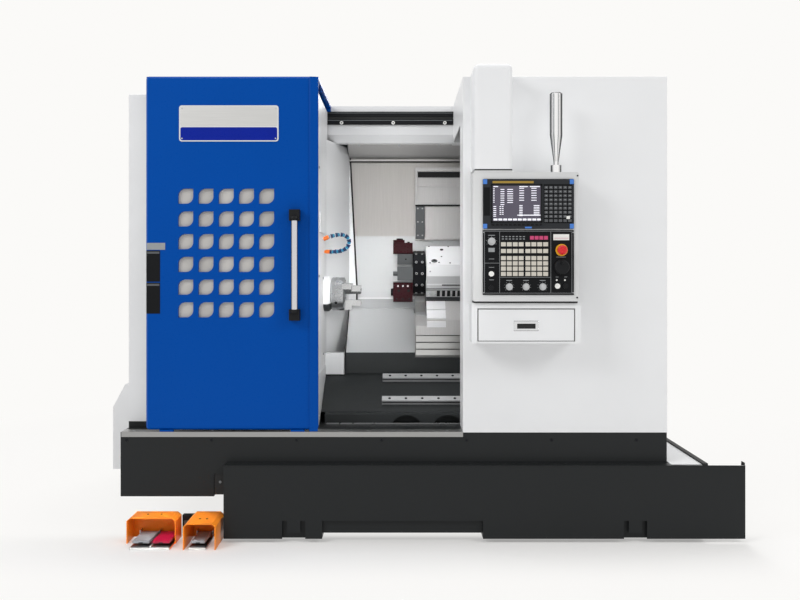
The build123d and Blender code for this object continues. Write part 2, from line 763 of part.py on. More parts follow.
# Cross slide: the machined block under the turret housing, with a long slot and a row of bolt pockets
pocket_count = 7
pocket_radius = 9.0
pocket_depth = 12.0
slot_height = 6.0
slot_depth = 10.0
with BuildPart() as cross_slide:
    side_profile([slant_point(housing_half, slide_floor), slant_point(housing_half, housing_floor),
                  slant_point(-housing_half, housing_floor), slant_point(-housing_half, slide_floor)],
                 housing_left_x, saddle_right_x - sheet)
    front_face_centre = slant_point(housing_half, (slide_floor + housing_floor) / 2)
    face_plane = Plane((housing_left_x, *front_face_centre), x_dir=towards_x, z_dir=(0, along_y, along_z))
    pocket_pitch = (housing_right_x - housing_left_x) / pocket_count
    with BuildSketch(face_plane):
        with Locations(((saddle_right_x - sheet - housing_left_x) / 2, slot_height)):
            Rectangle(saddle_right_x - sheet - housing_left_x, slot_height)
    extrude(amount=-slot_depth, mode=Mode.SUBTRACT)
    with BuildSketch(face_plane):
        for pocket in range(pocket_count):
            with Locations((pocket_pitch * (pocket + 1 / 2), -pocket_radius * 2)):
                Circle(pocket_radius)
    extrude(amount=-pocket_depth, mode=Mode.SUBTRACT)
    round_bar(housing_left_x - overrun, turret_y, turret_z, turret_shaft_radius + shaft_gap,
              turret_shaft_length + overrun, towards_x, mode=Mode.SUBTRACT)
save(cross_slide, "cross_slide")

# Turret housing: a rounded white block with the bore for the turret shaft
with BuildPart() as turret_housing:
    side_profile([slant_point(housing_half, housing_floor), slant_point(housing_half, housing_top),
                  slant_point(-housing_half, housing_top), slant_point(-housing_half, housing_floor)],
                 housing_left_x, housing_right_x)
    top_edges = turret_housing.edges().filter_by(Axis.X).sort_by(Axis.Z)[-1:]
    fillet(top_edges, cover_round)
    round_bar(housing_left_x - overrun, turret_y, turret_z, turret_shaft_radius + shaft_gap,
              turret_shaft_length + overrun, towards_x, mode=Mode.SUBTRACT)
save(turret_housing, "turret_housing")

# Turret disc: a twelve-sided plate on its shaft, with a round boss and a bolt circle in its face
turret_plane = Plane((disc_left_x, turret_y, turret_z), x_dir=towards_y, z_dir=towards_x)
boss_radius_share = 0.34
with BuildPart() as turret_disc:
    with BuildSketch(turret_plane):
        RegularPolygon(disc_radius, disc_stations, major_radius=False)
    extrude(amount=disc_right_x - disc_left_x)
    rims = turret_disc.faces().sort_by(Axis.X)
    chamfer(rims[0].edges() + rims[-1].edges(), disc_flat_chamfer)
    round_bar(disc_right_x, turret_y, turret_z, turret_shaft_radius,
              housing_left_x - disc_right_x + turret_shaft_length - running_gap, towards_x)
    round_bar(disc_left_x - disc_flat_chamfer, turret_y, turret_z, disc_radius * boss_radius_share,
              disc_flat_chamfer, towards_x)
save(turret_disc, "turret_disc")


def on_turret(turn):
    """Give the plane on the disc's face whose X runs out along one station, turned from straight up."""
    spoke = (0, sin(radians(turn)), cos(radians(turn)))
    return Plane((disc_left_x, turret_y, turret_z), x_dir=spoke, z_dir=(-1, 0, 0))


# Live tool holders: one on a spacer with its collet outwards, one with its collet towards the chuck
with BuildPart() as live_tool_holders:
    upright = on_turret(0)
    with BuildSketch(upright):
        with Locations(((holder_inner + head_inner) / 2, 0)):
            Rectangle(head_inner - holder_inner, spacer_width)
    extrude(amount=static_length)
    with BuildSketch(upright):
        with Locations(((head_inner + head_outer) / 2, 0)):
            RectangleRounded(head_outer - head_inner, holder_width, holder_round)
    extrude(amount=holder_length)
    with BuildSketch(Plane(upright.from_local_coords((head_outer, 0, collet_setback)), z_dir=upright.x_dir)):
        Circle(collet_radius)
    extrude(amount=collet_height, taper=collet_taper)
    hanging = on_turret(180)
    with BuildSketch(hanging):
        with Locations(((holder_inner + holder_outer) / 2, 0)):
            RectangleRounded(holder_outer - holder_inner, holder_width, holder_round)
    extrude(amount=holder_length)
    with BuildSketch(hanging.offset(holder_length)):
        with Locations(((holder_inner + holder_outer) / 2, 0)):
            Circle(collet_radius)
    extrude(amount=face_collet_height, taper=collet_taper)
save(live_tool_holders, "live_tool_holders")

# Static tool holders: plain blocks, each with a round tool along the spindle line
static_turns = (90, 270)
with BuildPart() as static_tool_holders:
    for turn in static_turns:
        station = on_turret(turn)
        with BuildSketch(station):
            with Locations(((static_inner + static_outer) / 2, 0)):
                Rectangle(static_outer - static_inner, static_width)
        extrude(amount=static_length)
        with BuildSketch(station.offset(static_length)):
            with Locations(((static_inner + static_outer) / 2, 0)):
                Circle(tool_radius)
        extrude(amount=holder_length - static_length)
save(static_tool_holders, "static_tool_holders")

# Tailstock: a slanted foot on the front rails and a barrel on the spindle line
foot_rise = tail_rail_height / cos(radians(slant)) + running_gap
tail_foot_ys = (tail_rail_ys[0] - tail_rail_width, tail_rail_ys[1] + tail_rail_width / 2)
tail_foot = [(y, bed_toe_z + (y - toe_inner_y) * tan(radians(slant)) + foot_rise) for y in tail_foot_ys]
with BuildPart() as tailstock_body:
    side_profile([tail_foot[0], (tail_foot[0][0], tail_foot[0][1] + tail_rail_height * 2),
                  (spindle_y - tail_half_width, spindle_z), (spindle_y + tail_half_width, spindle_z),
                  (tail_foot[1][0], tail_foot[1][1] + tail_rail_height * 2), tail_foot[1]],
                 tail_left_x, tail_right_x)
    round_bar(tail_left_x, spindle_y, spindle_z, tail_barrel_radius, tail_right_x - tail_left_x, towards_x)
    round_bar(tail_left_x - overrun, spindle_y, spindle_z, tail_bore_radius + shaft_gap,
              tail_right_x - tail_left_x + overrun + overrun, towards_x, mode=Mode.SUBTRACT)
save(tailstock_body, "tailstock_body")

# Tailstock quill with its pointed centre
with BuildPart() as tailstock_quill:
    with BuildSketch(Plane((quill_tip_x, spindle_y, spindle_z), x_dir=towards_x, z_dir=(0, -1, 0))):
        with BuildLine():
            Polyline((0, 0), (centre_cone, centre_radius), (centre_length, centre_radius),
                     (centre_length, tail_bore_radius), (quill_length, tail_bore_radius), (quill_length, 0),
                     close=True)
        make_face()
    revolve(axis=Axis((quill_tip_x, spindle_y, spindle_z), towards_x))
save(tailstock_quill, "tailstock_quill")

# Leaf-shaped hole: a square with two opposite corners rounded in full
with BuildSketch() as leaf:
    half = leaf_size / 2
    with BuildLine():
        Line((half, half), (half, leaf_round - half))
        RadiusArc((half, leaf_round - half), (half - leaf_round, -half), leaf_round)
        Line((half - leaf_round, -half), (-half, -half))
        Line((-half, -half), (-half, half - leaf_round))
        RadiusArc((-half, half - leaf_round), (leaf_round - half, half), leaf_round)
        Line((leaf_round - half, half), (half, half))
    make_face()

# Door skin: a thick folded sheet with a bevelled closing edge and a grid of leaf-shaped holes
door_right_x = opening_left_x
skin_rear_y = front_y + door_skin_depth
with BuildPart() as door_skin:
    with BuildSketch(Plane((0, front_y, 0), x_dir=towards_x, z_dir=(0, -1, 0))):
        with Locations(((door_left_x + door_right_x) / 2, (door_bottom_z + door_top_z) / 2)):
            RectangleRounded(door_right_x - door_left_x, door_top_z - door_bottom_z, door_round)
    extrude(amount=-door_skin_depth)
    closing_edge = door_skin.faces().sort_by(Axis.Y)[0].edges().filter_by(Axis.Z).sort_by(Axis.X)[-1]
    chamfer(closing_edge, door_bevel)
    with BuildSketch(Plane((leaf_centre_x, front_y, leaf_centre_z), x_dir=towards_x, z_dir=(0, -1, 0))):
        with GridLocations(leaf_pitch_x, leaf_pitch_z, leaf_columns, leaf_rows):
            add(leaf.sketch)
    extrude(amount=-door_skin_depth, mode=Mode.SUBTRACT)
    for shoe_x in (door_left_x + shoe_length, door_right_x - shoe_length * 2):
        block(shoe_x, shoe_x + shoe_length, front_y + running_gap, skin_rear_y, deck_z + sill_sheet + running_gap,
              door_bottom_z)
save(door_skin, "door_skin")

# Door roof: the part over the work area, with the runner that rides on the upper rail
with BuildPart() as door_roof:
    roof_under_z = door_top_z - door_roof_depth
    block(door_left_x, door_right_x, skin_rear_y, door_roof_rear_y, roof_under_z, door_top_z)
    block(door_left_x, door_right_x, header_front_y - rail_depth, header_front_y - running_gap,
          rail_top_z + running_gap, door_top_z)
    block(door_left_x, door_right_x, door_roof_rear_y, header_front_y - rail_depth, roof_under_z, door_top_z)
save(door_roof, "door_roof")

# Door window behind the holes
with BuildPart() as door_window:
    window_half_x = (leaf_pitch_x * (leaf_columns - 1) + leaf_size) / 2 + window_margin
    window_half_z = (leaf_pitch_z * (leaf_rows - 1) + leaf_size) / 2 + window_margin
    block(leaf_centre_x - window_half_x, leaf_centre_x + window_half_x, skin_rear_y, skin_rear_y + window_depth,
          leaf_centre_z - window_half_z, leaf_centre_z + window_half_z)
save(door_window, "door_window")

# Door handle: an oval bar between two end mounts
with BuildPart() as door_handle:
    for mount_z in (handle_bottom_z - mount_height, handle_top_z):
        block(handle_x - mount_width / 2, handle_x + mount_width / 2, front_y - handle_standoff - handle_thickness,
              front_y, mount_z, mount_z + mount_height)
    fillet(door_handle.edges().filter_by(Axis.Z), handle_thickness / 4)
    with BuildSketch(Plane.XY.offset(handle_bottom_z)):
        with Locations((handle_x, front_y - handle_standoff - handle_thickness / 2)):
            Ellipse(handle_width / 2, handle_thickness / 2)
    extrude(amount=handle_top_z - handle_bottom_z)
save(door_handle, "door_handle")

# Pendant column on the right cover, with the bearing bore for the swivel
swivel_x = (column_left_x + column_right_x) / 2
pendant_rear_y = pendant_front_y + pendant_depth
swivel_y = pendant_front_y + swivel_setback
with BuildPart() as pendant_column:
    block(column_left_x, column_right_x, column_front_y, front_y, column_bottom_z, column_top_z)
    fillet(pendant_column.edges().filter_by(Axis.Z).group_by(Axis.Y)[0], column_round)
    fillet(pendant_column.faces().sort_by(Axis.Z)[-1].edges().sort_by(Axis.Y)[0], column_round)
    round_bar(swivel_x, swivel_y, column_bottom_z - overrun, swivel_pin_radius + shaft_gap,
              swivel_pin_height + overrun, towards_z, mode=Mode.SUBTRACT)
save(pendant_column, "pendant_column")

# Pendant box: a rounded case hung on the swivel, with a hole behind each control
override_places = [(override_first_x + index * override_pitch, override_z) for index in range(3)]
control_places = [(mode_knob_x, mode_knob_z), (stop_x, stop_z), (stop_x, wheel_z), *override_places]
with BuildPart() as pendant_box:
    block(pendant_left_x, pendant_right_x, pendant_front_y, pendant_rear_y, pendant_bottom_z, pendant_top_z)
    fillet(pendant_box.edges().filter_by(Axis.Y), pendant_round)
    round_bar(swivel_x, swivel_y, pendant_top_z, swivel_radius,
              column_bottom_z - pendant_top_z - running_gap, towards_z)
    round_bar(swivel_x, swivel_y, column_bottom_z - running_gap, swivel_pin_radius, swivel_pin_height, towards_z)
    for pin_x, pin_z in control_places:
        round_bar(pin_x, pendant_front_y, pin_z, control_pin_radius + shaft_gap, control_pin_length, towards_y,
                  mode=Mode.SUBTRACT)
save(pendant_box, "pendant_box")

# Display unit with its recessed screen
unit_front_y = pendant_front_y - unit_depth
with BuildPart() as display_unit:
    block(unit_left_x, unit_right_x, unit_front_y, pendant_front_y, unit_bottom_z, unit_top_z)
    fillet(display_unit.edges().filter_by(Axis.Y), unit_round)
    block(screen_left_x, screen_right_x, unit_front_y - overrun, unit_front_y + screen_recess,
          screen_bottom_z, screen_top_z, mode=Mode.SUBTRACT)
save(display_unit, "display_unit")

# Operator panel: a thin plate with membrane keys, push buttons and the collar of the emergency stop
panel_front_y = pendant_front_y - panel_depth
with BuildPart() as operator_panel:
    block(unit_left_x, unit_right_x, panel_front_y, pendant_front_y, panel_bottom_z, panel_top_z)
    key_fields = ((upper_key_z, upper_key_pitch, upper_key_rows), (lower_key_z, lower_key_pitch, lower_key_rows))
    with BuildSketch(Plane((0, panel_front_y, 0), x_dir=towards_x, z_dir=(0, -1, 0))):
        for field_z, pitch, rows in key_fields:
            with Locations((key_left_x, field_z), (key_right_x, field_z)):
                with GridLocations(key_pitch_x, pitch, key_columns, rows):
                    Rectangle(key_width, key_height)
    extrude(amount=key_rise)
    button_places = [(left_button_x, left_button_z), (left_button_x, left_button_z - left_button_drop),
                     (right_button_x, right_button_z), (right_button_x + right_button_pitch, right_button_z)]
    for button_x, button_z in button_places:
        round_bar(button_x, panel_front_y - button_rise, button_z, button_radius, button_rise, towards_y)
    round_bar(stop_x, panel_front_y - stop_collar_rise, stop_z, stop_collar_radius, stop_collar_rise, towards_y)
    for pin_x, pin_z in control_places:
        round_bar(pin_x, panel_front_y - stop_collar_rise - overrun, pin_z, control_pin_radius + shaft_gap,
                  stop_collar_rise + panel_depth + overrun + overrun, towards_y, mode=Mode.SUBTRACT)
save(operator_panel, "operator_panel")


def knob(radius, place, name):
    """Make a turned knob with a skirt, a grip ridge and a pin into the panel."""
    x, z = place
    foot_y = panel_front_y - running_gap
    with BuildPart() as turned_knob:
        round_bar(x, foot_y - knob_skirt, z, radius, knob_skirt, towards_y)
        round_bar(x, foot_y - knob_rise, z, radius * knob_grip_share, knob_rise - knob_skirt, towards_y)
        chamfer(turned_knob.edges().filter_by(GeomType.CIRCLE).sort_by(Axis.Y)[0], button_round)
        round_bar(x, foot_y, z, control_pin_radius, control_pin_length, towards_y)
    save(turned_knob, name)


knob(mode_knob_radius, (mode_knob_x, mode_knob_z), "mode_knob")
for number, place in enumerate(override_places, start=1):
    knob(override_radius, place, f"override_knob_{number}")

# Emergency stop: a mushroom head over its collar
stop_head_y = panel_front_y - stop_collar_rise - stop_travel - running_gap
with BuildPart() as emergency_stop:
    round_bar(stop_x, stop_head_y - stop_rise + stop_travel, stop_z, stop_radius, stop_rise - stop_travel, towards_y)
    chamfer(emergency_stop.edges().filter_by(GeomType.CIRCLE).sort_by(Axis.Y)[0], stop_travel)
    round_bar(stop_x, stop_head_y, stop_z, control_pin_radius,
              stop_collar_rise + stop_travel + control_pin_length / 2, towards_y)
save(emergency_stop, "emergency_stop")

# Handwheel: a round dial with a turning knob near its rim
with BuildPart() as handwheel:
    wheel_foot_y = panel_front_y - running_gap
    round_bar(stop_x, wheel_foot_y - wheel_rise, wheel_z, wheel_radius, wheel_rise, towards_y)
    chamfer(handwheel.edges().filter_by(GeomType.CIRCLE).sort_by(Axis.Y)[0], sheet)
    round_bar(stop_x, wheel_foot_y - wheel_rise - wheel_knob_rise, wheel_z + wheel_radius * knob_grip_share - sheet,
              wheel_knob_radius, wheel_knob_rise, towards_y)
    round_bar(stop_x, wheel_foot_y, wheel_z, control_pin_radius, control_pin_length, towards_y)
save(handwheel, "handwheel")

# Signal lamp: one turned body on a collar
lamp_y = (pendant_front_y + pendant_rear_y) / 2
with BuildPart() as signal_lamp:
    with BuildSketch(Plane((lamp_x, lamp_y, pendant_top_z), x_dir=towards_x, z_dir=(0, -1, 0))):
        with BuildLine():
            neck_z = lamp_collar_height + lamp_neck_height
            tube_z = neck_z + lamp_taper_height
            Polyline((0, 0), (lamp_collar_radius, 0), (lamp_collar_radius, lamp_collar_height),
                     (lamp_neck_radius, lamp_collar_height), (lamp_neck_radius, neck_z), (lamp_radius, tube_z),
                     (lamp_radius, tube_z + lamp_tube_height), (0, tube_z + lamp_tube_height), close=True)
        make_face()
    revolve(axis=Axis((lamp_x, lamp_y, pendant_top_z), towards_z))
    chamfer(signal_lamp.edges().filter_by(GeomType.CIRCLE).sort_by(Axis.Z)[-1], lamp_round)
save(signal_lamp, "signal_lamp")

# Drawer case: a box on the right cover with a pocket for the drawer
pocket_left_x = case_left_x + drawer_margin_x
pocket_right_x = case_right_x - drawer_margin_x
pocket_bottom_z = case_bottom_z + drawer_margin_bottom
pocket_top_z = case_top_z - drawer_margin_top
pocket_rear_y = front_y - case_wall
with BuildPart() as drawer_case:
    block(case_left_x, case_right_x, case_front_y, front_y, case_bottom_z, case_top_z)
    fillet(drawer_case.edges().filter_by(Axis.Y), case_wall)
    block(pocket_left_x, pocket_right_x, case_front_y - overrun, pocket_rear_y, pocket_bottom_z, pocket_top_z,
          mode=Mode.SUBTRACT)
save(drawer_case, "drawer_case")

# Drawer: an open tray behind a front with a recessed pull
with BuildPart() as drawer:
    tray_left_x = pocket_left_x + drawer_gap
    tray_right_x = pocket_right_x - drawer_gap
    tray_bottom_z = pocket_bottom_z + running_gap
    tray_top_z = pocket_top_z - drawer_gap
    tray_rear_y = pocket_rear_y - drawer_back_gap
    tray_front_y = case_front_y + drawer_front_depth
    block(tray_left_x, tray_right_x, case_front_y, tray_rear_y, tray_bottom_z, tray_top_z)
    block(tray_left_x + drawer_wall, tray_right_x - drawer_wall, tray_front_y, tray_rear_y - drawer_wall,
          tray_bottom_z + drawer_wall, tray_top_z + overrun, mode=Mode.SUBTRACT)
    pull_x = (tray_left_x + tray_right_x) / 2
    block(pull_x - pull_width / 2, pull_x + pull_width / 2, case_front_y - overrun, case_front_y + pull_recess,
          pull_z - pull_height / 2, pull_z + pull_height / 2, mode=Mode.SUBTRACT)
save(drawer, "drawer")


def pedal_outline(x0, x1, wall):
    """Give the (x, z) outline of a guard whose upper corners slope, drawn in by a wall."""
    low = -overrun if wall else 0
    shoulder_z = pedal_height - pedal_drop
    top_z = pedal_height - wall
    return [(x0 + wall, low), (x1 - wall, low), (x1 - wall, shoulder_z), (x1 - pedal_slope, top_z),
            (x0 + pedal_slope, top_z), (x0 + wall, shoulder_z)]


def foot_guard(x0, x1, front_y):
    """Add a bent hood that stands on the floor and is open to the front."""
    front_profile(pedal_outline(x0, x1, 0), front_y, pedal_rear_y)
    front_profile(pedal_outline(x0, x1, pedal_wall), front_y - overrun, pedal_rear_y - pedal_wall,
                  mode=Mode.SUBTRACT)


def foot_lug(x):
    """Add a lug on the foot plate that holds one end of a treadle's pin."""
    block(x, x + pedal_wall, treadle_heel_y - lug_reach, pedal_rear_y - pedal_wall, pedal_base,
          treadle_heel_z + lug_reach)


# Foot switches: a hood over a foot plate that reaches out in front of it, with lugs for the treadles
with BuildPart() as foot_switch_double:
    foot_guard(double_left_x, double_right_x, double_front_y)
    block(double_lug_x, double_right_x - pedal_wall, pedal_front_y, pedal_rear_y - pedal_wall, 0, pedal_base)
    foot_lug(double_lug_x)
    foot_lug(double_middle_x)
save(foot_switch_double, "foot_switch_double")

with BuildPart() as foot_switch_single:
    foot_guard(single_left_x, single_right_x, pedal_front_y)
    block(single_lug_xs[0], single_lug_xs[1] + pedal_wall, pedal_front_y, pedal_rear_y - pedal_wall, 0, pedal_base)
    foot_lug(single_lug_xs[0])
    foot_lug(single_lug_xs[1])
save(foot_switch_single, "foot_switch_single")


def treadle(x0, x1, name):
    """Make a flat treadle between two walls, on a cross pin at its rear."""
    with BuildPart() as pedal:
        side_profile([(treadle_toe_y, treadle_top_z - treadle_thickness),
                      (treadle_heel_y, treadle_heel_z - treadle_pin_radius),
                      (treadle_heel_y, treadle_heel_z + treadle_pin_radius), (treadle_toe_y, treadle_top_z)],
                     x0 + treadle_space, x1 - treadle_space)
        round_bar(x0 + running_gap, treadle_heel_y, treadle_heel_z, treadle_pin_radius, x1 - x0 - running_gap * 2,
                  towards_x)
    save(pedal, name)


treadle(double_lug_x + pedal_wall, double_middle_x, "treadle_left")
treadle(double_middle_x + pedal_wall, double_right_x - pedal_wall, "treadle_middle")
treadle(single_lug_xs[0] + pedal_wall, single_lug_xs[1], "treadle_right")

# Electrical cabinet: a deep box on the rear cover, open at the back, with two hinge knuckles
case_rear_y = cabinet_rear_y - cabinet_door_depth
hinge_x = cabinet_left_x - hinge_radius - running_gap * 3
hinge_y = cabinet_rear_y - cabinet_door_depth / 2
hinge_share = 0.2
hinge_rise = (cabinet_top_z - cabinet_bottom_z) * hinge_share
hinge_zs = (cabinet_bottom_z + hinge_rise, cabinet_top_z - hinge_rise)
with BuildPart() as electrical_cabinet:
    block(cabinet_left_x, cabinet_right_x, rear_y, case_rear_y - running_gap, cabinet_bottom_z, cabinet_top_z)
    block(cabinet_left_x + cabinet_wall, cabinet_right_x - cabinet_wall, rear_y + cabinet_wall, cabinet_rear_y,
          cabinet_bottom_z + cabinet_wall, cabinet_top_z - cabinet_wall, mode=Mode.SUBTRACT)
    for hinge_z in hinge_zs:
        block(hinge_x - hinge_radius, cabinet_left_x, case_rear_y - hinge_radius * 2, case_rear_y - running_gap,
              hinge_z - hinge_length, hinge_z)
        block(hinge_x - hinge_radius, hinge_x, case_rear_y - hinge_radius, hinge_y, hinge_z - hinge_length, hinge_z)
        round_bar(hinge_x, hinge_y, hinge_z - hinge_length, hinge_radius, hinge_length, towards_z)
save(electrical_cabinet, "electrical_cabinet")

# Cabinet door with its hinge barrels and a recessed latch
latch_width = 46.0
latch_height = 150.0
latch_depth = 8.0
with BuildPart() as cabinet_door:
    block(cabinet_left_x, cabinet_right_x, case_rear_y, cabinet_rear_y, cabinet_bottom_z, cabinet_top_z)
    latch_z = (cabinet_bottom_z + cabinet_top_z) / 2
    block(cabinet_right_x - latch_width * 2, cabinet_right_x - latch_width, cabinet_rear_y - latch_depth,
          cabinet_rear_y + overrun, latch_z - latch_height / 2, latch_z + latch_height / 2, mode=Mode.SUBTRACT)
    for hinge_z in hinge_zs:
        barrel_z = hinge_z + running_gap
        round_bar(hinge_x, hinge_y, barrel_z, hinge_radius, hinge_length, towards_z)
        block(hinge_x, cabinet_left_x, hinge_y, cabinet_rear_y, barrel_z, barrel_z + hinge_length)
save(cabinet_door, "cabinet_door")
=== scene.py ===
"""Looks of the turn-mill machine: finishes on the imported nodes, small fittings, floor, lamps and camera."""
import math

import bmesh
import bpy
from bpy.props import FloatProperty, FloatVectorProperty, IntProperty, PointerProperty
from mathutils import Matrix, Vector


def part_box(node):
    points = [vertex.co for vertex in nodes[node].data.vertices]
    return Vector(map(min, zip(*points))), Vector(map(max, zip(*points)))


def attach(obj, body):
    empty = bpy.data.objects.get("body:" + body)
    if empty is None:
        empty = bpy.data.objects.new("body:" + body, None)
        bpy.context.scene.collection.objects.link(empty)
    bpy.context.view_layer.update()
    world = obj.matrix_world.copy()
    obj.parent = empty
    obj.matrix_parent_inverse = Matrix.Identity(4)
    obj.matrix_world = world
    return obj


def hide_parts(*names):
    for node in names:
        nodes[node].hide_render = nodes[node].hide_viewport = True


bl_info = {
    "name": "Turn-mill machine looks",
    "version": (1, 0, 0),
    "blender": (4, 5, 0),
    "location": "3D View > Sidebar > Turn-mill",
    "description": "Finishes, fittings and studio of the turn-mill machine",
    "category": "Object",
}

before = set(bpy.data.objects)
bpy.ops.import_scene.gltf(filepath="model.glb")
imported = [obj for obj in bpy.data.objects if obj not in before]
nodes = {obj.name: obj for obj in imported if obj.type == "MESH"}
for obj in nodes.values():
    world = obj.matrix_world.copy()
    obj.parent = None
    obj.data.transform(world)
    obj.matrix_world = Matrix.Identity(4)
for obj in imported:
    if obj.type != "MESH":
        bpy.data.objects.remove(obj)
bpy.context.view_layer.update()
mm = 0.001
finishes = {}


# Colours and shader nodes

def tint(code):
    """Turn an sRGB hex colour into the linear colour that shaders read."""
    channels = [int(code[i:i + 2], 16) / 255 for i in (1, 3, 5)]
    linear = [c / 12.92 if c <= 0.04045 else ((c + 0.055) / 1.055) ** 2.4 for c in channels]
    return (*linear, 1.0)


def add_node(tree, kind, inputs=None, **settings):
    """Add a node, set its options, and fill its inputs with values or with (node, output) links."""
    made = tree.nodes.new(kind)
    for option, value in settings.items():
        setattr(made, option, value)
    for socket, value in (inputs or {}).items():
        if isinstance(value, tuple) and len(value) == 2 and isinstance(value[0], bpy.types.Node):
            tree.links.new(value[0].outputs[value[1]], made.inputs[socket])
        else:
            made.inputs[socket].default_value = value
    return made


def new_finish(name, **sockets):
    """Start a material with a single principled shader whose plain sockets are set by keyword."""
    material = bpy.data.materials.new(name)
    material.use_nodes = True
    tree = material.node_tree
    tree.nodes.clear()
    shader = add_node(tree, "ShaderNodeBsdfPrincipled")
    for socket, value in sockets.items():
        shader.inputs[socket.replace("_", " ")].default_value = value
    add_node(tree, "ShaderNodeOutputMaterial", {"Surface": (shader, "BSDF")})
    finishes[name] = material
    return tree, shader


def grain(tree, size_mm, stretch=(1, 1, 1), detail=2.0):
    """Noise whose blobs are about size_mm across, stretched per axis in object space."""
    place = add_node(tree, "ShaderNodeTexCoord")
    turned = add_node(tree, "ShaderNodeMapping", {"Vector": (place, "Object"), "Scale": stretch})
    return add_node(tree, "ShaderNodeTexNoise",
                    {"Vector": (turned, "Vector"), "Scale": 1 / (size_mm * mm), "Detail": detail})


def vary(tree, shader, noise, socket, low, high):
    """Let a noise drive a shader socket between two values."""
    spread = add_node(tree, "ShaderNodeMapRange", {"Value": (noise, "Fac"), "From Min": 0.3, "From Max": 0.7,
                                                   "To Min": low, "To Max": high})
    tree.links.new(spread.outputs["Result"], shader.inputs[socket])


def blotch(tree, shader, noise, colour, spread):
    """Let a noise move the base colour gently to both sides of a tint."""
    ramp = add_node(tree, "ShaderNodeMix", {"Factor": (noise, "Fac")}, data_type="RGBA")
    ramp.inputs[6].default_value = (*[c * (1 - spread) for c in colour[:3]], 1)
    ramp.inputs[7].default_value = (*[min(c * (1 + spread), 1) for c in colour[:3]], 1)
    tree.links.new(ramp.outputs[2], shader.inputs["Base Color"])


def relief(tree, shader, noise, depth_mm, strength):
    """Raise the surface by a noise."""
    bump = add_node(tree, "ShaderNodeBump", {"Height": (noise, "Fac"), "Distance": depth_mm * mm,
                                             "Strength": strength})
    tree.links.new(bump.outputs["Normal"], shader.inputs["Normal"])


def powder_coat(name, colour, roughness, shine=0.28):
    """Baked powder paint: an even colour with a faint orange peel that softens the reflections.

    The peel is 1 to 2 mm in life and drawn at 9 mm so that it shows in the render.
    """
    tree, shader = new_finish(name, IOR=1.5, Specular_IOR_Level=shine)
    blotch(tree, shader, grain(tree, 420), colour, 0.05)
    peel = grain(tree, 9)
    vary(tree, shader, peel, "Roughness", roughness - 0.04, roughness + 0.05)
    relief(tree, shader, peel, 0.25, 0.06)


def brushed_sheet(name, colour, roughness, along, metal=1.0):
    """Brushed sheet metal: long fine scratches in one direction that stretch the highlights.

    Scratches are 0.2 mm wide in life and drawn at 3 mm so that they show in the render.
    """
    tree, shader = new_finish(name, Metallic=metal, Anisotropic=0.35)
    stretch = tuple(0.02 if axis == along else 1.0 for axis in range(3))
    scratch = grain(tree, 3, stretch, 3.0)
    blotch(tree, shader, scratch, colour, 0.1)
    vary(tree, shader, grain(tree, 160, stretch), "Roughness", roughness - 0.05, roughness + 0.06)
    relief(tree, shader, scratch, 0.08, 0.05)


def machined_steel(name, colour, roughness, metal=1.0):
    """Ground or turned steel: bright, with faint oil-grey patches from handling."""
    tree, shader = new_finish(name, Metallic=metal)
    blotch(tree, shader, grain(tree, 60), colour, 0.04)
    vary(tree, shader, grain(tree, 45), "Roughness", roughness - 0.02, roughness + 0.03)


def metal_with_painted_reflection(name, colour, edge, roughness):
    """Bright metal on a round body, with a painted reflection: light where it faces the eye and dark along
    its edges, like a dark room mirrored there.
    """
    tree, shader = new_finish(name, Metallic=1.0, Specular_Tint=edge)
    vary(tree, shader, grain(tree, 90), "Roughness", roughness - 0.01, roughness + 0.02)
    # Painted reflection: the base colour darkens from the face turned to the eye towards the edges
    tilt = add_node(tree, "ShaderNodeLayerWeight", {"Blend": 0.5})
    share = add_node(tree, "ShaderNodeMapRange",
                     {"Value": (tilt, "Facing"), "From Min": 0.08, "From Max": 0.55})
    mix = add_node(tree, "ShaderNodeMixRGB", {0: (share, "Result"), 1: colour, 2: edge})
    tree.links.new(mix.outputs[0], shader.inputs["Base Color"])


def moulded_plastic(name, colour, roughness, shine=0.5):
    """Moulded plastic: satin skin with a spark-eroded grain, drawn at 4 mm so that it shows."""
    tree, shader = new_finish(name, IOR=1.49, Specular_IOR_Level=shine)
    blotch(tree, shader, grain(tree, 90), colour, 0.08)
    skin = grain(tree, 4)
    vary(tree, shader, skin, "Roughness", roughness - 0.05, roughness + 0.06)
    relief(tree, shader, skin, 0.1, 0.05)


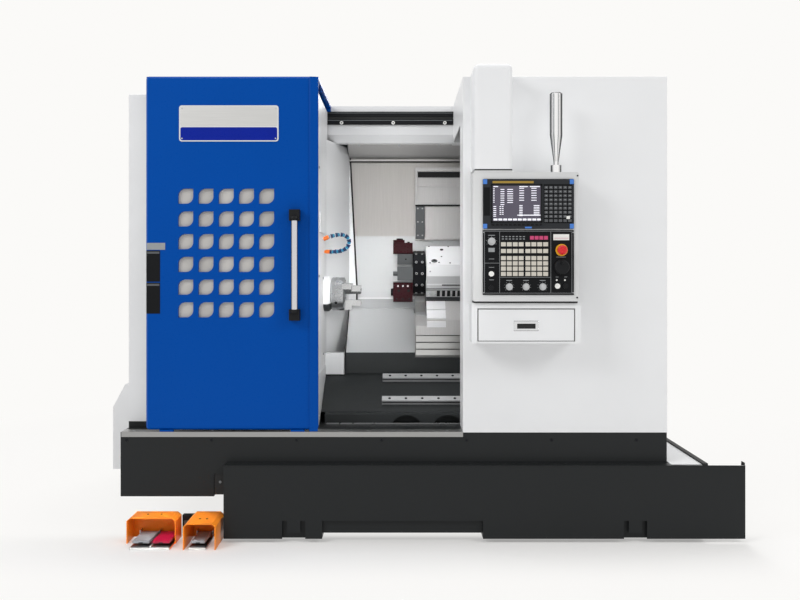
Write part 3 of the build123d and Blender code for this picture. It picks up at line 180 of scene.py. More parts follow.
def mix_finishes(colours):
    """Make every finish of the machine once."""
    # Covers, door and base: baked powder paint
    powder_coat("white_powder_coat", colours.cover_white, 0.34)
    powder_coat("blue_powder_coat", colours.door_blue, 0.3, 0.06)
    powder_coat("pale_powder_coat", tint("#d0d1d1"), 0.34)
    powder_coat("grey_powder_coat", tint("#bfc1c2"), 0.36)
    powder_coat("charcoal_powder_coat", colours.base_charcoal, 0.42, 0.2)
    powder_coat("orange_powder_coat", colours.guard_orange, 0.32)
    powder_coat("black_cast_paint", tint("#313435"), 0.5)
    # Sheet and bar metals
    brushed_sheet("brushed_stainless_upright", tint("#bdbbb8"), 0.36, 2, 0.8)
    brushed_sheet("satin_stainless", tint("#c2c1c0"), 0.42, 2, 0.4)
    brushed_sheet("worn_stainless", tint("#a2a2a1"), 0.38, 0)
    brushed_sheet("brushed_stainless_level", tint("#c9c9c8"), 0.32, 0)
    machined_steel("ground_steel", tint("#d2d3d4"), 0.22)
    machined_steel("turned_steel", tint("#bfc1c3"), 0.28)
    machined_steel("satin_steel", tint("#cfd0d1"), 0.4, 0.4)
    machined_steel("grey_tool_steel", tint("#6f7274"), 0.42)
    machined_steel("blackened_steel", tint("#26272a"), 0.4)
    machined_steel("polished_chrome", tint("#dcdddf"), 0.1)
    # Chrome and aluminium carry a painted reflection: light where they face the eye, dark at their edges
    metal_with_painted_reflection("mirror_chrome", tint("#f4f4f5"), tint("#3a3c3e"), 0.1)
    metal_with_painted_reflection("anodised_aluminium", tint("#d2d2d6"), tint("#5a5c60"), 0.26)
    # Turret tools: wine-red enamel over cast bodies
    powder_coat("maroon_enamel", colours.holder_maroon, 0.3, 0.14)
    # Moulded pieces of the pendant, handle, hose and treadles
    moulded_plastic("black_nylon", tint("#17181a"), 0.42, 0.16)
    moulded_plastic("dark_bezel_abs", tint("#2b2d30"), 0.45, 0.16)
    moulded_plastic("black_panel_film", tint("#141517"), 0.5, 0.1)
    moulded_plastic("beige_key_film", tint("#c9c4b9"), 0.45)
    moulded_plastic("pink_key_film", tint("#c2406f"), 0.42)
    moulded_plastic("white_key_cap", tint("#e6e6e2"), 0.38)
    moulded_plastic("grey_line_print", tint("#8e9193"), 0.5)
    moulded_plastic("dark_key_cap", tint("#4b4d50"), 0.42)
    moulded_plastic("blue_plate_enamel", tint("#06208f"), 0.3, 0.12)
    moulded_plastic("gold_strip", tint("#9a7d2c"), 0.36)
    moulded_plastic("light_blue_insert", tint("#3f78c8"), 0.35)
    moulded_plastic("stop_red", tint("#d0141c"), 0.26)
    moulded_plastic("stop_yellow", tint("#f0b41e"), 0.34)
    moulded_plastic("hose_blue", tint("#0c2450"), 0.3)
    # Teal of the hose's collars paints the highlights on the blue hose
    moulded_plastic("hose_teal", tint("#2c86a6"), 0.35)
    moulded_plastic("hose_orange", tint("#e0742a"), 0.35)
    moulded_plastic("treadle_grey", tint("#96999d"), 0.4)
    moulded_plastic("treadle_red", tint("#a80f3c"), 0.34)
    moulded_plastic("black_rubber", tint("#101112"), 0.7)
    # Polycarbonate of the door's window: milky grey, with the work area showing through in pale clouds
    tree, shader = new_finish("grey_polycarbonate", IOR=1.58, Roughness=0.24, Specular_IOR_Level=0.3)
    blotch(tree, shader, grain(tree, 130), tint("#bab7b2"), 0.3)
    # Screen glass: dark violet-grey with a soft glow of its own
    tree, shader = new_finish("screen_glass", IOR=1.5, Roughness=0.16)
    blotch(tree, shader, grain(tree, 120), tint("#4a4653"), 0.1)
    shader.inputs["Emission Color"].default_value = tint("#4a4556")
    shader.inputs["Emission Strength"].default_value = 0.25
    # Lit lines on the screen
    tree, shader = new_finish("screen_print", IOR=1.5, Roughness=0.4)
    blotch(tree, shader, grain(tree, 25), tint("#e8e8f0"), 0.06)
    shader.inputs["Emission Color"].default_value = tint("#e6e6f0")
    shader.inputs["Emission Strength"].default_value = 0.35


# Shapes: each is built where it stands, in millimetres of the machine's frame

def add_box(shape, low, high, index=0, ease=0.0):
    """Add a box between two corners, with eased edges if asked."""
    corners = [Vector([low[a] if not bit >> a & 1 else high[a] for a in range(3)]) * mm for bit in range(8)]
    verts = [shape.verts.new(c) for c in corners]
    quads = ((0, 2, 3, 1), (4, 5, 7, 6), (0, 1, 5, 4), (2, 6, 7, 3), (0, 4, 6, 2), (1, 3, 7, 5))
    faces = [shape.faces.new([verts[i] for i in quad]) for quad in quads]
    for face in faces:
        face.material_index = index
    if ease:
        edges = list({edge for face in faces for edge in face.edges})
        bmesh.ops.bevel(shape, geom=edges, offset=ease * mm, segments=2, affect="EDGES", profile=0.5,
                        clamp_overlap=True, material=-1)


def add_lathe(shape, base, axis, outline, index=0, steps=32):
    """Turn an outline of (radius, height) pairs about an axis that starts at a base point."""
    axis = Vector(axis).normalized()
    side = axis.orthogonal().normalized()
    other = axis.cross(side)
    rings = []
    for radius, height in outline:
        ring = []
        for k in range(steps):
            turn = 2 * math.pi * k / steps
            spoke = side * math.cos(turn) + other * math.sin(turn)
            ring.append(shape.verts.new((Vector(base) + axis * height + spoke * max(radius, 0.01)) * mm))
        rings.append(ring)
    made = []
    for low, high in zip(rings, rings[1:]):
        for k in range(steps):
            made.append(shape.faces.new((low[k], low[(k + 1) % steps], high[(k + 1) % steps], high[k])))
            made[-1].smooth = True
    made.append(shape.faces.new(list(reversed(rings[0]))))
    made.append(shape.faces.new(rings[-1]))
    for face in made:
        face.material_index = index


def add_slab(shape, outline, away, index=0):
    """Extrude a flat outline of points by a vector."""
    near = [shape.verts.new(Vector(p) * mm) for p in outline]
    far = [shape.verts.new((Vector(p) + Vector(away)) * mm) for p in outline]
    count = len(outline)
    faces = [shape.faces.new(near), shape.faces.new(list(reversed(far)))]
    for k in range(count):
        faces.append(shape.faces.new((near[k], far[k], far[(k + 1) % count], near[(k + 1) % count])))
    for face in faces:
        face.material_index = index


def settle(name, shape, used, body):
    """Turn a shape into a finished piece that rides on a body of the frame."""
    bmesh.ops.recalc_face_normals(shape, faces=shape.faces[:])
    mesh = bpy.data.meshes.new(name)
    shape.to_mesh(mesh)
    shape.free()
    for finish in used:
        mesh.materials.append(finishes[finish])
    piece = bpy.data.objects.new(name, mesh)
    bpy.context.scene.collection.objects.link(piece)
    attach(piece, body)


def fit_boxes(name, body, used, *boxes):
    """Settle a piece that is made of boxes, each given as add_box takes it."""
    shape = bmesh.new()
    for box in boxes:
        add_box(shape, *box)
    settle(name, shape, used, body)



# Geometry Nodes: rows of pegs, blocks and slots, and a hose of links

def start_tree(name, inputs):
    """Start a tree with named inputs, and give it with its input node and the inputs' identifiers."""
    tree = bpy.data.node_groups.new(name, "GeometryNodeTree")
    made = {label: tree.interface.new_socket(name=label, in_out="INPUT", socket_type="NodeSocket" + kind)
            for label, kind in inputs.items()}
    tree.interface.new_socket(name="Geometry", in_out="OUTPUT", socket_type="NodeSocketGeometry")
    return tree, tree.nodes.new("NodeGroupInput"), {label: made[label].identifier for label in made}


def end_tree(tree, entry, source):
    """Make instances real, give them the finish and lead them out of the tree."""
    real = add_node(tree, "GeometryNodeRealizeInstances", {"Geometry": source})
    painted = add_node(tree, "GeometryNodeSetMaterial",
                       {"Geometry": (real, "Geometry"), "Material": (entry, "Finish")})
    add_node(tree, "NodeGroupOutput", {"Geometry": (painted, "Geometry")})


row_inputs = {"Start": "Vector", "Along": "Vector", "Count": "Int", "Across": "Vector", "Rows": "Int"}


def grid_points(tree, entry):
    """A row of points, and the row repeated across."""
    row = add_node(tree, "GeometryNodeMeshLine",
                   {"Count": (entry, "Count"), "Start Location": (entry, "Start"),
                    "Offset": (entry, "Along")})
    column = add_node(tree, "GeometryNodeMeshLine", {"Count": (entry, "Rows"), "Offset": (entry, "Across")})
    spread = add_node(tree, "GeometryNodeInstanceOnPoints",
                      {"Points": (column, "Mesh"), "Instance": (row, "Mesh")})
    return add_node(tree, "GeometryNodeRealizeInstances", {"Geometry": (spread, "Instances")})


def turned_rows(tree, entry, item):
    """Copies of a mesh on every point of the rows, all turned alike."""
    turn = add_node(tree, "FunctionNodeEulerToRotation", {"Euler": (entry, "Turn")})
    placed = add_node(tree, "GeometryNodeInstanceOnPoints",
                      {"Points": (grid_points(tree, entry), "Geometry"), "Instance": (item, "Mesh"),
                       "Rotation": (turn, "Rotation")})
    return placed, "Instances"


def peg_tree():
    """Round pegs in rows: screw heads, holes with a dark floor, lamps."""
    tree, entry, ids = start_tree("peg_rows",
                                  {**row_inputs, "Turn": "Vector", "Radius": "Float", "Depth": "Float",
                                   "Sides": "Int", "Finish": "Material"})
    peg = add_node(tree, "GeometryNodeMeshCylinder",
                   {"Vertices": (entry, "Sides"), "Radius": (entry, "Radius"), "Depth": (entry, "Depth")})
    end_tree(tree, entry, turned_rows(tree, entry, peg))
    return tree, ids


def block_tree():
    """Blocks in rows: keys, louvres, ribs, lines of print on the screen."""
    tree, entry, ids = start_tree("block_rows", {
        **row_inputs, "Turn": "Vector", "Size": "Vector", "Finish": "Material"})
    block = add_node(tree, "GeometryNodeMeshCube", {"Size": (entry, "Size")})
    end_tree(tree, entry, turned_rows(tree, entry, block))
    return tree, ids


def slot_tree():
    """Rows of slots cut out of the piece that carries them, lined in black as painted shade inside the slots.
    """
    tree, entry, ids = start_tree("cut_slots", {
        "Geometry": "Geometry", **row_inputs, "Size": "Vector", "Finish": "Material"})
    block = add_node(tree, "GeometryNodeMeshCube", {"Size": (entry, "Size")})
    placed = add_node(tree, "GeometryNodeInstanceOnPoints",
                      {"Points": (grid_points(tree, entry), "Geometry"), "Instance": (block, "Mesh")})
    real = add_node(tree, "GeometryNodeRealizeInstances", {"Geometry": (placed, "Instances")})
    # Black lining of the slots: painted shade inside them
    shade_lined = add_node(tree, "GeometryNodeSetMaterial",
                     {"Geometry": (real, "Geometry"), "Material": (entry, "Finish")})
    cut = add_node(tree, "GeometryNodeMeshBoolean",
                   {"Mesh 1": (entry, "Geometry"), "Mesh 2": (shade_lined, "Geometry")}, operation="DIFFERENCE")
    add_node(tree, "NodeGroupOutput", {"Geometry": (cut, "Mesh")})
    return tree, ids


def hose_tree():
    """Links of a jointed coolant hose, threaded on the path that the object's own mesh gives."""
    tree, entry, ids = start_tree("hose_links", {
        "Geometry": "Geometry", "Count": "Int", "Wide": "Float", "Narrow": "Float", "Length": "Float",
        "Finish": "Material"})
    path = add_node(tree, "GeometryNodeMeshToCurve", {"Mesh": (entry, "Geometry")})
    points = add_node(tree, "GeometryNodeCurveToPoints",
                      {"Curve": (path, "Curve"), "Count": (entry, "Count")}, mode="COUNT")
    aim = add_node(tree, "FunctionNodeAlignRotationToVector", {"Vector": (points, "Tangent")}, axis="Z")
    link = add_node(tree, "GeometryNodeMeshCone",
                    {"Vertices": 20, "Radius Top": (entry, "Narrow"), "Radius Bottom": (entry, "Wide"),
                     "Depth": (entry, "Length")})
    placed = add_node(tree, "GeometryNodeInstanceOnPoints",
                      {"Points": (points, "Points"), "Instance": (link, "Mesh"),
                       "Rotation": (aim, "Rotation")})
    end_tree(tree, entry, (placed, "Instances"))
    return tree, ids


repeats = {}


def repeat(kind, name, body, finish, path=None, **values):
    """Run one of the trees with its inputs, keep the result as a plain mesh, and let it ride on a body."""
    if kind not in repeats:
        repeats[kind] = {"pegs": peg_tree, "blocks": block_tree, "hose": hose_tree}[kind]()
    tree, ids = repeats[kind]
    mesh = bpy.data.meshes.new(name)
    if path:
        mesh.from_pydata(path, [(k, k + 1) for k in range(len(path) - 1)], [])
    piece = bpy.data.objects.new(name, mesh)
    modifier = piece.modifiers.new("repeat", "NODES")
    modifier.node_group = tree
    for label, value in values.items():
        modifier[ids[label]] = value
    modifier[ids["Finish"]] = finishes[finish]
    bpy.context.scene.collection.objects.link(piece)
    bpy.context.view_layer.update()
    graph = bpy.context.evaluated_depsgraph_get()
    result = bpy.data.meshes.new_from_object(piece.evaluated_get(graph))
    if not result.polygons:
        raise RuntimeError(f"{name} came out empty")
    piece.modifiers.clear()
    piece.data = result
    piece.data.name = name
    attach(piece, body)
    return piece


def sized(*lengths):
    """Millimetres to metres, as a plain list of floats."""
    return [float(length) * mm for length in lengths]


facing = {"x": (0.0, math.pi / 2, 0.0), "y": (math.pi / 2, 0.0, 0.0), "z": (0.0, 0.0, 0.0)}


def pegs(name, body, finish, start, along, count, radius, depth, axis, across=(0, 0, 0), rows=1, sides=20):
    """Round pegs in rows, given in millimetres, with their length along an axis."""
    turn = facing.get(axis, axis)
    repeat("pegs", name, body, finish, Start=sized(*start), Along=sized(*along), Count=count,
           Across=sized(*across), Rows=rows, Turn=list(turn), Radius=radius * mm, Depth=depth * mm,
           Sides=sides)


def blocks(name, body, finish, start, along, count, size, across=(0, 0, 0), rows=1, turn=(0.0, 0.0, 0.0)):
    """Blocks in rows, given in millimetres."""
    repeat("blocks", name, body, finish, Start=sized(*start), Along=sized(*along), Count=count,
           Across=sized(*across), Rows=rows, Turn=list(turn), Size=sized(*size))


# Settings

class TurnMillColours(bpy.types.PropertyGroup):
    """Paint colours of the machine."""
    cover_white: FloatVectorProperty(name="Cover white", description="Paint of the covers and the pendant",
                                     subtype="COLOR", size=4, min=0, max=1, default=tint("#e6e7e8"))
    door_blue: FloatVectorProperty(name="Door blue", description="Paint of the sliding door", subtype="COLOR",
                                   size=4, min=0, max=1, default=tint("#00479d"))
    base_charcoal: FloatVectorProperty(name="Base charcoal", description="Paint of the base and the tank",
                                       subtype="COLOR", size=4, min=0, max=1, default=tint("#202223"))
    guard_orange: FloatVectorProperty(name="Guard orange", description="Paint of the foot switch guards",
                                      subtype="COLOR", size=4, min=0, max=1, default=tint("#ff9026"))
    holder_maroon: FloatVectorProperty(name="Holder maroon", description="Enamel of the live tool holders",
                                       subtype="COLOR", size=4, min=0, max=1, default=tint("#2c070e"))


class TurnMillSizes(bpy.types.PropertyGroup):
    """Sizes of the small fittings."""
    rail_hole_pitch: FloatProperty(name="Rail hole pitch",
                                   description="Distance between screws of a linear rail", unit="LENGTH",
                                   min=0.02, default=0.077)
    screw_radius: FloatProperty(name="Screw radius", description="Radius of a cover screw's head",
                                unit="LENGTH", min=0.001, default=0.006)
    louvre_count: IntProperty(name="Louvres", description="Number of slots in each vent", min=2, default=9)


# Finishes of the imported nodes

finish_groups = {
    "white_powder_coat": ("left_front_panel", "left_side_panel", "right_front_panel", "right_jamb",
                          "right_side_panel", "rear_cover", "roof_panel", "header_beam", "headstock_liner",
                          "pendant_column", "drawer_case", "turret_housing", "tailstock_body", "service_box"),
    "pale_powder_coat": ("pendant_box",),
    "grey_powder_coat": ("electrical_cabinet", "cabinet_door"),
    "blue_powder_coat": ("door_roof",),
    "charcoal_powder_coat": ("base_pan",),
    "black_cast_paint": ("saddle",),
    "satin_stainless": ("saddle_skirt", "saddle_back_cover"),
    "worn_stainless": ("door_sill",),
    "blackened_steel": ("levelling_feet", "door_rails", "turret_disc"),
    "satin_steel": ("linear_rails", "cross_slide"),
    "turned_steel": ("spindle_shaft", "chuck_body", "mode_knob", "override_knob_1", "override_knob_2",
                     "override_knob_3"),
    "ground_steel": ("chuck_jaw_1", "chuck_jaw_2", "chuck_jaw_3", "tailstock_quill"),
    "grey_tool_steel": ("static_tool_holders",),
    "mirror_chrome": ("signal_lamp",),
    "grey_polycarbonate": ("door_window",),
    "dark_bezel_abs": ("display_unit",),
    "black_nylon": ("handwheel",),
    "hose_blue": ("coolant_hose",),
    "treadle_grey": ("treadle_left", "treadle_right"),
    "treadle_red": ("treadle_middle",),
}
plain_finish = {node: finish for finish, group in finish_groups.items() for node in group}

turret_axis = Vector((0, -176.8, 1152))


def door_skin_finish(centre, normal):
    """Blue outside, white on the inner face."""
    return "white_powder_coat" if normal.y > 0.7 else "blue_powder_coat"


def handle_finish(centre, normal):
    """Black mounts at both ends of an aluminium bar."""
    return "anodised_aluminium" if 1004 < centre.z < 1380 else "black_nylon"


def chip_guard_finish(centre, normal):
    """Light grey guard and slide, dark front fold."""
    return "grey_powder_coat" if normal.z > 0.3 or centre.y > -250 else "black_cast_paint"


def tank_finish(centre, normal):
    """Charcoal tank with a white lid at its right end."""
    return "white_powder_coat" if normal.z > 0.7 and centre.x > 1150 else "charcoal_powder_coat"


def bed_finish(centre, normal):
    """Dark casting with sheet covers over the crest that carries the saddle."""
    return "satin_stainless" if centre.z > 738 else "black_cast_paint"


def headstock_finish(centre, normal):
    """White guard over the nose, dark casting under it and behind the wall."""
    return "white_powder_coat" if centre.x > -420 and centre.z > 1006 else "black_cast_paint"


def live_holder_finish(centre, normal):
    """Maroon heads on a grey spacer, with dark collets."""
    height = centre.z - turret_axis.z
    if height > 158.5 or centre.x < -35.5:
        return "blackened_steel"
    return "grey_tool_steel" if 0 < height < 99.5 else "maroon_enamel"


def back_wall_finish(centre, normal):
    """Brushed wall under a paler folded band."""
    return "satin_stainless" if normal.z < -0.3 else "brushed_stainless_upright"


def foot_switch_finish(centre, normal):
    """Orange guard with a bright floor and lugs inside it."""
    left, right = (-1170, -959) if centre.x < -930 else (-907, -771)
    inside = left + 4.5 < centre.x < right - 4.5 and centre.y < -773
    return "turned_steel" if inside and centre.z < 39 else "orange_powder_coat"


def drawer_finish(centre, normal):
    """White front with a black pull recess."""
    inside_pull = 470 < centre.x < 590 and 890 < centre.z < 965 and centre.y > -929.5
    return "black_nylon" if inside_pull and centre.y < -880 else "white_powder_coat"


def stop_finish(centre, normal):
    """Red mushroom head on a yellow collar."""
    return "stop_red" if centre.y < -957 else "stop_yellow"


def panel_finish(centre, normal):
    """Black film with keys and buttons in their own colours."""
    if centre.y > -948.4:
        return "black_panel_film"
    x, z = centre.x, centre.z
    if 418 < x < 618 and 1140 < z < 1288:
        return "beige_key_film"
    if x < 420:
        return "white_key_cap" if z > 1125 else "black_nylon"
    if x > 620 and z > 1215:
        return "stop_yellow"
    if x > 620:
        return "white_key_cap" if x < 670 else "black_nylon"
    return "black_panel_film"


ruled_finish = {
    "back_wall": back_wall_finish, "bed_casting": bed_finish, "door_skin": door_skin_finish,
    "door_handle": handle_finish, "chip_guard": chip_guard_finish, "coolant_tank": tank_finish,
    "headstock": headstock_finish, "live_tool_holders": live_holder_finish,
    "foot_switch_double": foot_switch_finish, "foot_switch_single": foot_switch_finish,
    "drawer": drawer_finish, "emergency_stop": stop_finish,
    "operator_panel": panel_finish,
}


def paint(node, rule):
    """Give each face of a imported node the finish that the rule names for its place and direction."""
    mesh = nodes[node].data
    names = [rule(face.center / mm, face.normal) for face in mesh.polygons]
    used = sorted(set(names))
    mesh.materials.clear()
    for name in used:
        mesh.materials.append(finishes[name])
    mesh.polygons.foreach_set("material_index", [used.index(name) for name in names])


class TURNMILL_OT_finishes(bpy.types.Operator):
    """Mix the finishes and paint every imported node"""
    bl_idname = "turnmill.finishes"
    bl_label = "Finishes"

    def execute(self, context):
        mix_finishes(context.scene.turnmill_colours)
        for node in nodes:
            if node in ruled_finish:
                paint(node, ruled_finish[node])
            else:
                paint(node, lambda centre, normal, name=plain_finish[node]: name)
        return {"FINISHED"}


# Pendant: screen, keys and print

display_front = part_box("display_unit")[0].y / mm
panel_thickness = 4.0
panel_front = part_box("operator_panel")[1].y / mm - panel_thickness


def add_plate(shape, x0, x1, z0, z1, front, rise, index=0, ease=0.0):
    """Add a thin plate that stands out of a front face."""
    add_box(shape, (x0, front - rise, z0), (x1, front + 0.5, z1), index, ease)


def add_frame(shape, x0, x1, z0, z1, front, rise, line, index=0):
    """Add four thin strips round a rectangle on a front face."""
    add_plate(shape, x0, x1, z1 - line, z1, front, rise, index)
    add_plate(shape, x0, x1, z0, z0 + line, front, rise, index)
    add_plate(shape, x0, x0 + line, z0, z1, front, rise, index)
    add_plate(shape, x1 - line, x1, z0, z1, front, rise, index)


def add_ticks(shape, x, z, radius, length, count, sweep, front, rise, index=0):
    """Add scale marks round a knob, with the gap of the scale at the bottom."""
    for k in range(count):
        turn = math.radians(90 + sweep / 2 - sweep * k / (count - 1))
        out = Vector((math.cos(turn), 0, math.sin(turn)))
        side = Vector((-out.z, 0, out.x)) * 0.7
        near = Vector((x, front - rise, z)) + out * radius
        far = near + out * length
        add_slab(shape, [near - side, near + side, far + side, far - side], (0, rise + 0.5, 0), index)


class TURNMILL_OT_display(bpy.types.Operator):
    """Fit the screen with its lines, the key field and the soft keys"""
    bl_idname = "turnmill.display"
    bl_label = "Display"

    def execute(self, context):
        shape = bmesh.new()
        add_frame(shape, 379, 591, 1367, 1527, display_front, 2.5, 6, 0)
        add_plate(shape, 384, 586, 1372, 1522, display_front, 0.6, 1)
        add_plate(shape, 348, 374, 1396, 1514, display_front, 1.2, 2, 0.8)
        add_plate(shape, 385, 556, 1531, 1540, display_front, 1.0, 3)
        add_plate(shape, 598, 716, 1365, 1527, display_front, 0.8, 2)
        settle("display_bezel", shape, ("black_nylon", "screen_glass", "black_panel_film", "gold_strip"),
               "pendant")
        shape = bmesh.new()
        for x in (345.5, 706):
            for z in (1527.5, 1342):
                add_plate(shape, x, x + 17, z, z + 20, display_front, 1.6, 0, 0.8)
        add_plate(shape, 520, 548, 1343, 1350, display_front, 1.0, 0)
        settle("bezel_inserts", shape, ("light_blue_insert",), "pendant")
        # Lines of print on the screen: short bars in a few tables, no lettering
        rows = (("left_list", 388, 1508, 5, 9, 7, 1), ("left_values", 418, 1505, 16, 8, 9, 1),
                ("mid_values", 446, 1505, 24, 7, 9, 1), ("right_names", 496, 1510, 20, 6, 10, 1),
                ("right_values", 546, 1510, 22, 6, 10, 1), ("lower_list", 388, 1434, 12, 6, 8, 1),
                ("lower_codes", 414, 1434, 7, 5, 8, 2), ("lower_names", 496, 1438, 14, 7, 7, 1),
                ("lower_values", 556, 1438, 24, 6, 7, 1))
        for name, x, z, wide, count, pitch, columns in rows:
            blocks("screen_" + name, "pendant", "screen_print", (x + wide / 2, display_front - 0.7, z),
                   (0, 0, -pitch), count, (wide, 0.5, 3.2), (wide * 1.4, 0, 0), columns)
        shape = bmesh.new()
        for x0, x1, z in ((496, 532, 1515), (540, 582, 1515), (388, 408, 1515), (488, 584, 1396)):
            add_plate(shape, x0, x1, z, z + 4, display_front, 0.9)
        settle("screen_bars", shape, ("screen_print",), "pendant")
        blocks("screen_menu", "pendant", "screen_print", (397, display_front - 0.8, 1380), (20.2, 0, 0), 10,
               (16, 0.5, 8))
        blocks("soft_keys", "pendant", "black_nylon", (385, display_front - 1.5, 1358), (18.2, 0, 0), 12,
               (12, 3, 7))
        blocks("data_keys", "pendant", "dark_key_cap", (608, display_front - 2.2, 1513), (19.6, 0, 0), 6,
               (14, 3, 11), (0, 0, -17.2), 9)
        blocks("data_key_marks", "pendant", "grey_line_print", (608, display_front - 3.9, 1514), (19.6, 0, 0),
               6, (6, 0.5, 3), (0, 0, -17.2), 8)
        shape = bmesh.new()
        add_plate(shape, 692, 706, 1382, 1394, display_front, 4.2, 0)
        settle("reset_key", shape, ("white_key_cap",), "pendant")
        return {"FINISHED"}


class TURNMILL_OT_operator_panel(bpy.types.Operator):
    """Print the operator panel: outlines, scales, bare label and lamps"""
    bl_idname = "turnmill.operator_panel"
    bl_label = "Operator panel"

    def execute(self, context):
        shape = bmesh.new()
        line, rise = 1.4, 0.5
        add_frame(shape, 351, 716, 1073, 1332, panel_front, rise, line)
        for x0, x1, z0, z1 in ((414, 414 + line, 1073, 1332), (627, 627 + line, 1073, 1332),
                               (351, 414, 1198, 1198 + line), (414, 627, 1139, 1139 + line),
                               (367, 395, 1313, 1316), (368, 394, 1245, 1262)):
            add_plate(shape, x0, x1, z0, z1, panel_front, rise)
        for x in (454.5, 524.5, 593.5):
            add_ticks(shape, x, 1100.5, 17.5, 4, 9, 270, panel_front, rise)
            add_plate(shape, x - 12, x + 12, 1125, 1128, panel_front, rise)
        add_ticks(shape, 381, 1289, 19, 4, 7, 240, panel_front, rise)
        for x0, x1, z in ((370, 392, 1215), (370, 392, 1180), (371, 391, 1128), (650, 690, 1223),
                          (648, 660, 1140), (684, 696, 1140)):
            add_plate(shape, x0, x1, z, z + 2, panel_front, rise)
        settle("panel_print", shape, ("grey_line_print",), "pendant")
        blocks("panel_legends", "pendant", "grey_line_print", (428, panel_front - 0.4, 1309), (14.6, 0, 0), 7,
               (8, 0.6, 4), (0, 0, -10), 2)
        blocks("pink_keys", "pendant", "pink_key_film", (549, panel_front - 1.2, 1304), (19.4, 0, 0), 4,
               (16, 2.4, 15))
        shape = bmesh.new()
        add_plate(shape, 638, 704, 1294, 1319, panel_front, 1.2, 0, 0.5)
        add_plate(shape, 642, 700, 1302, 1303.2, panel_front, 1.6, 1)
        settle("bare_label", shape, ("white_key_cap", "pink_key_film"), "pendant")
        pegs("panel_lamps", "pendant", "white_key_cap", (652, panel_front - 1.5, 1128), (34, 0, 0), 2, 3.5, 3,
             "y")
        pegs("pendant_screws", "pendant", "black_nylon", (740, -944.6, 1563), (-2, 0, -508), 2, 3.6, 2.4, "y")
        pegs("panel_screws", "pendant", "turned_steel", (348.2, panel_front - 0.6, 1327), (0, 0, -252), 2,
             2.4, 1.6, "y", (372, 0, 0), 2, 12)
        return {"FINISHED"}


class TURNMILL_OT_drawer_fittings(bpy.types.Operator):
    """Fit the drawer's pull and seal, the pendant's seal and a dark block of painted shade in its gap, and
    the signal lamp's rings and dark strips of painted reflection
    """
    bl_idname = "turnmill.drawer_fittings"
    bl_label = "Drawer and lamp fittings"

    def execute(self, context):
        low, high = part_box("drawer")
        left, right = low.x / mm, high.x / mm
        bottom, top = low.z / mm, high.z / mm
        shape = bmesh.new()
        add_frame(shape, left, right, bottom, top, -930, 0.5, 2.6)
        settle("drawer_seal", shape, ("black_rubber",), "drawer")
        middle = (left + right) / 2
        shape = bmesh.new()
        for x0, x1, z0, z1 in ((-52, 52, 945, 956), (-52, 52, 916, 925), (-52, -38, 924, 946),
                               (38, 52, 924, 946)):
            add_box(shape, (middle + x0, -932.6, z0), (middle + x1, -925, z1), 0, 2)
        add_box(shape, (middle - 40, -926.5, 922), (middle + 40, -924.5, 948), 1)
        settle("drawer_pull", shape, ("polished_chrome", "black_rubber"), "drawer")
        # Dark block in the gap between the pendant and the drawer case: painted shade of the gap
        fit_boxes("pendant_gap", "pendant", ("black_rubber",), ((309, -941, 1032), (741, -850, 1039), 0))
        fit_boxes("column_seal", "machine", ("black_rubber", "pale_powder_coat"),
                  ((311, -943.6, 1585), (468, -938, 1590.5), 0, 1),
                  ((311, -943.2, 1579), (468, -938, 1585.2), 1))
        # Signal lamp: rings, and dark strips that paint its reflections
        low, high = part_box("signal_lamp")
        x, y = (low.x + high.x) / 2 / mm, (low.y + high.y) / 2 / mm
        base, cap = low.z / mm, high.z / mm
        shape = bmesh.new()
        add_lathe(shape, (x, y, base), (0, 0, 1), [(20, 0), (20, 5), (16, 8)], 0, 32)
        for z in (1764, 1896):
            add_lathe(shape, (x, y, z), (0, 0, 1), [(24, 0), (24.6, 1), (24.6, 4), (24, 5)], 0, 40)
        # Grey strips up the tube and the taper: painted reflections on the chrome
        tube, neck = cap - 180, base + 50
        for turn, wide in ((-78, 7), (-32, 5), (10, 3), (76, 8)):
            out = Vector((math.sin(math.radians(turn)), -math.cos(math.radians(turn)), 0))
            side = Vector((-out.y, out.x, 0)) * wide / 2
            for z0, r0, z1, r1 in ((tube, 26.1, cap - 6, 26.1), (neck, 10.6, tube, 26.1)):
                near = Vector((x, y, z0)) + out * r0
                far = Vector((x, y, z1)) + out * r1
                add_slab(shape, [near - side * r0 / 26, near + side * r0 / 26, far + side * r1 / 26,
                                 far - side * r1 / 26], -out, 1)
        settle("lamp_rings", shape, ("dark_key_cap", "grey_tool_steel"), "pendant")
        return {"FINISHED"}


# Door, header and sill fittings

def rounded_outline(x0, x1, z0, z1, radius, y, steps=5):
    """Corner points of a rounded rectangle that faces the front."""
    points = []
    for cx, cz, start in ((x1 - radius, z1 - radius, 0), (x0 + radius, z1 - radius, 90),
                          (x0 + radius, z0 + radius, 180), (x1 - radius, z0 + radius, 270)):
        for k in range(steps + 1):
            turn = math.radians(start + 90 * k / steps)
            points.append((cx + radius * math.cos(turn), y, cz + radius * math.sin(turn)))
    return points


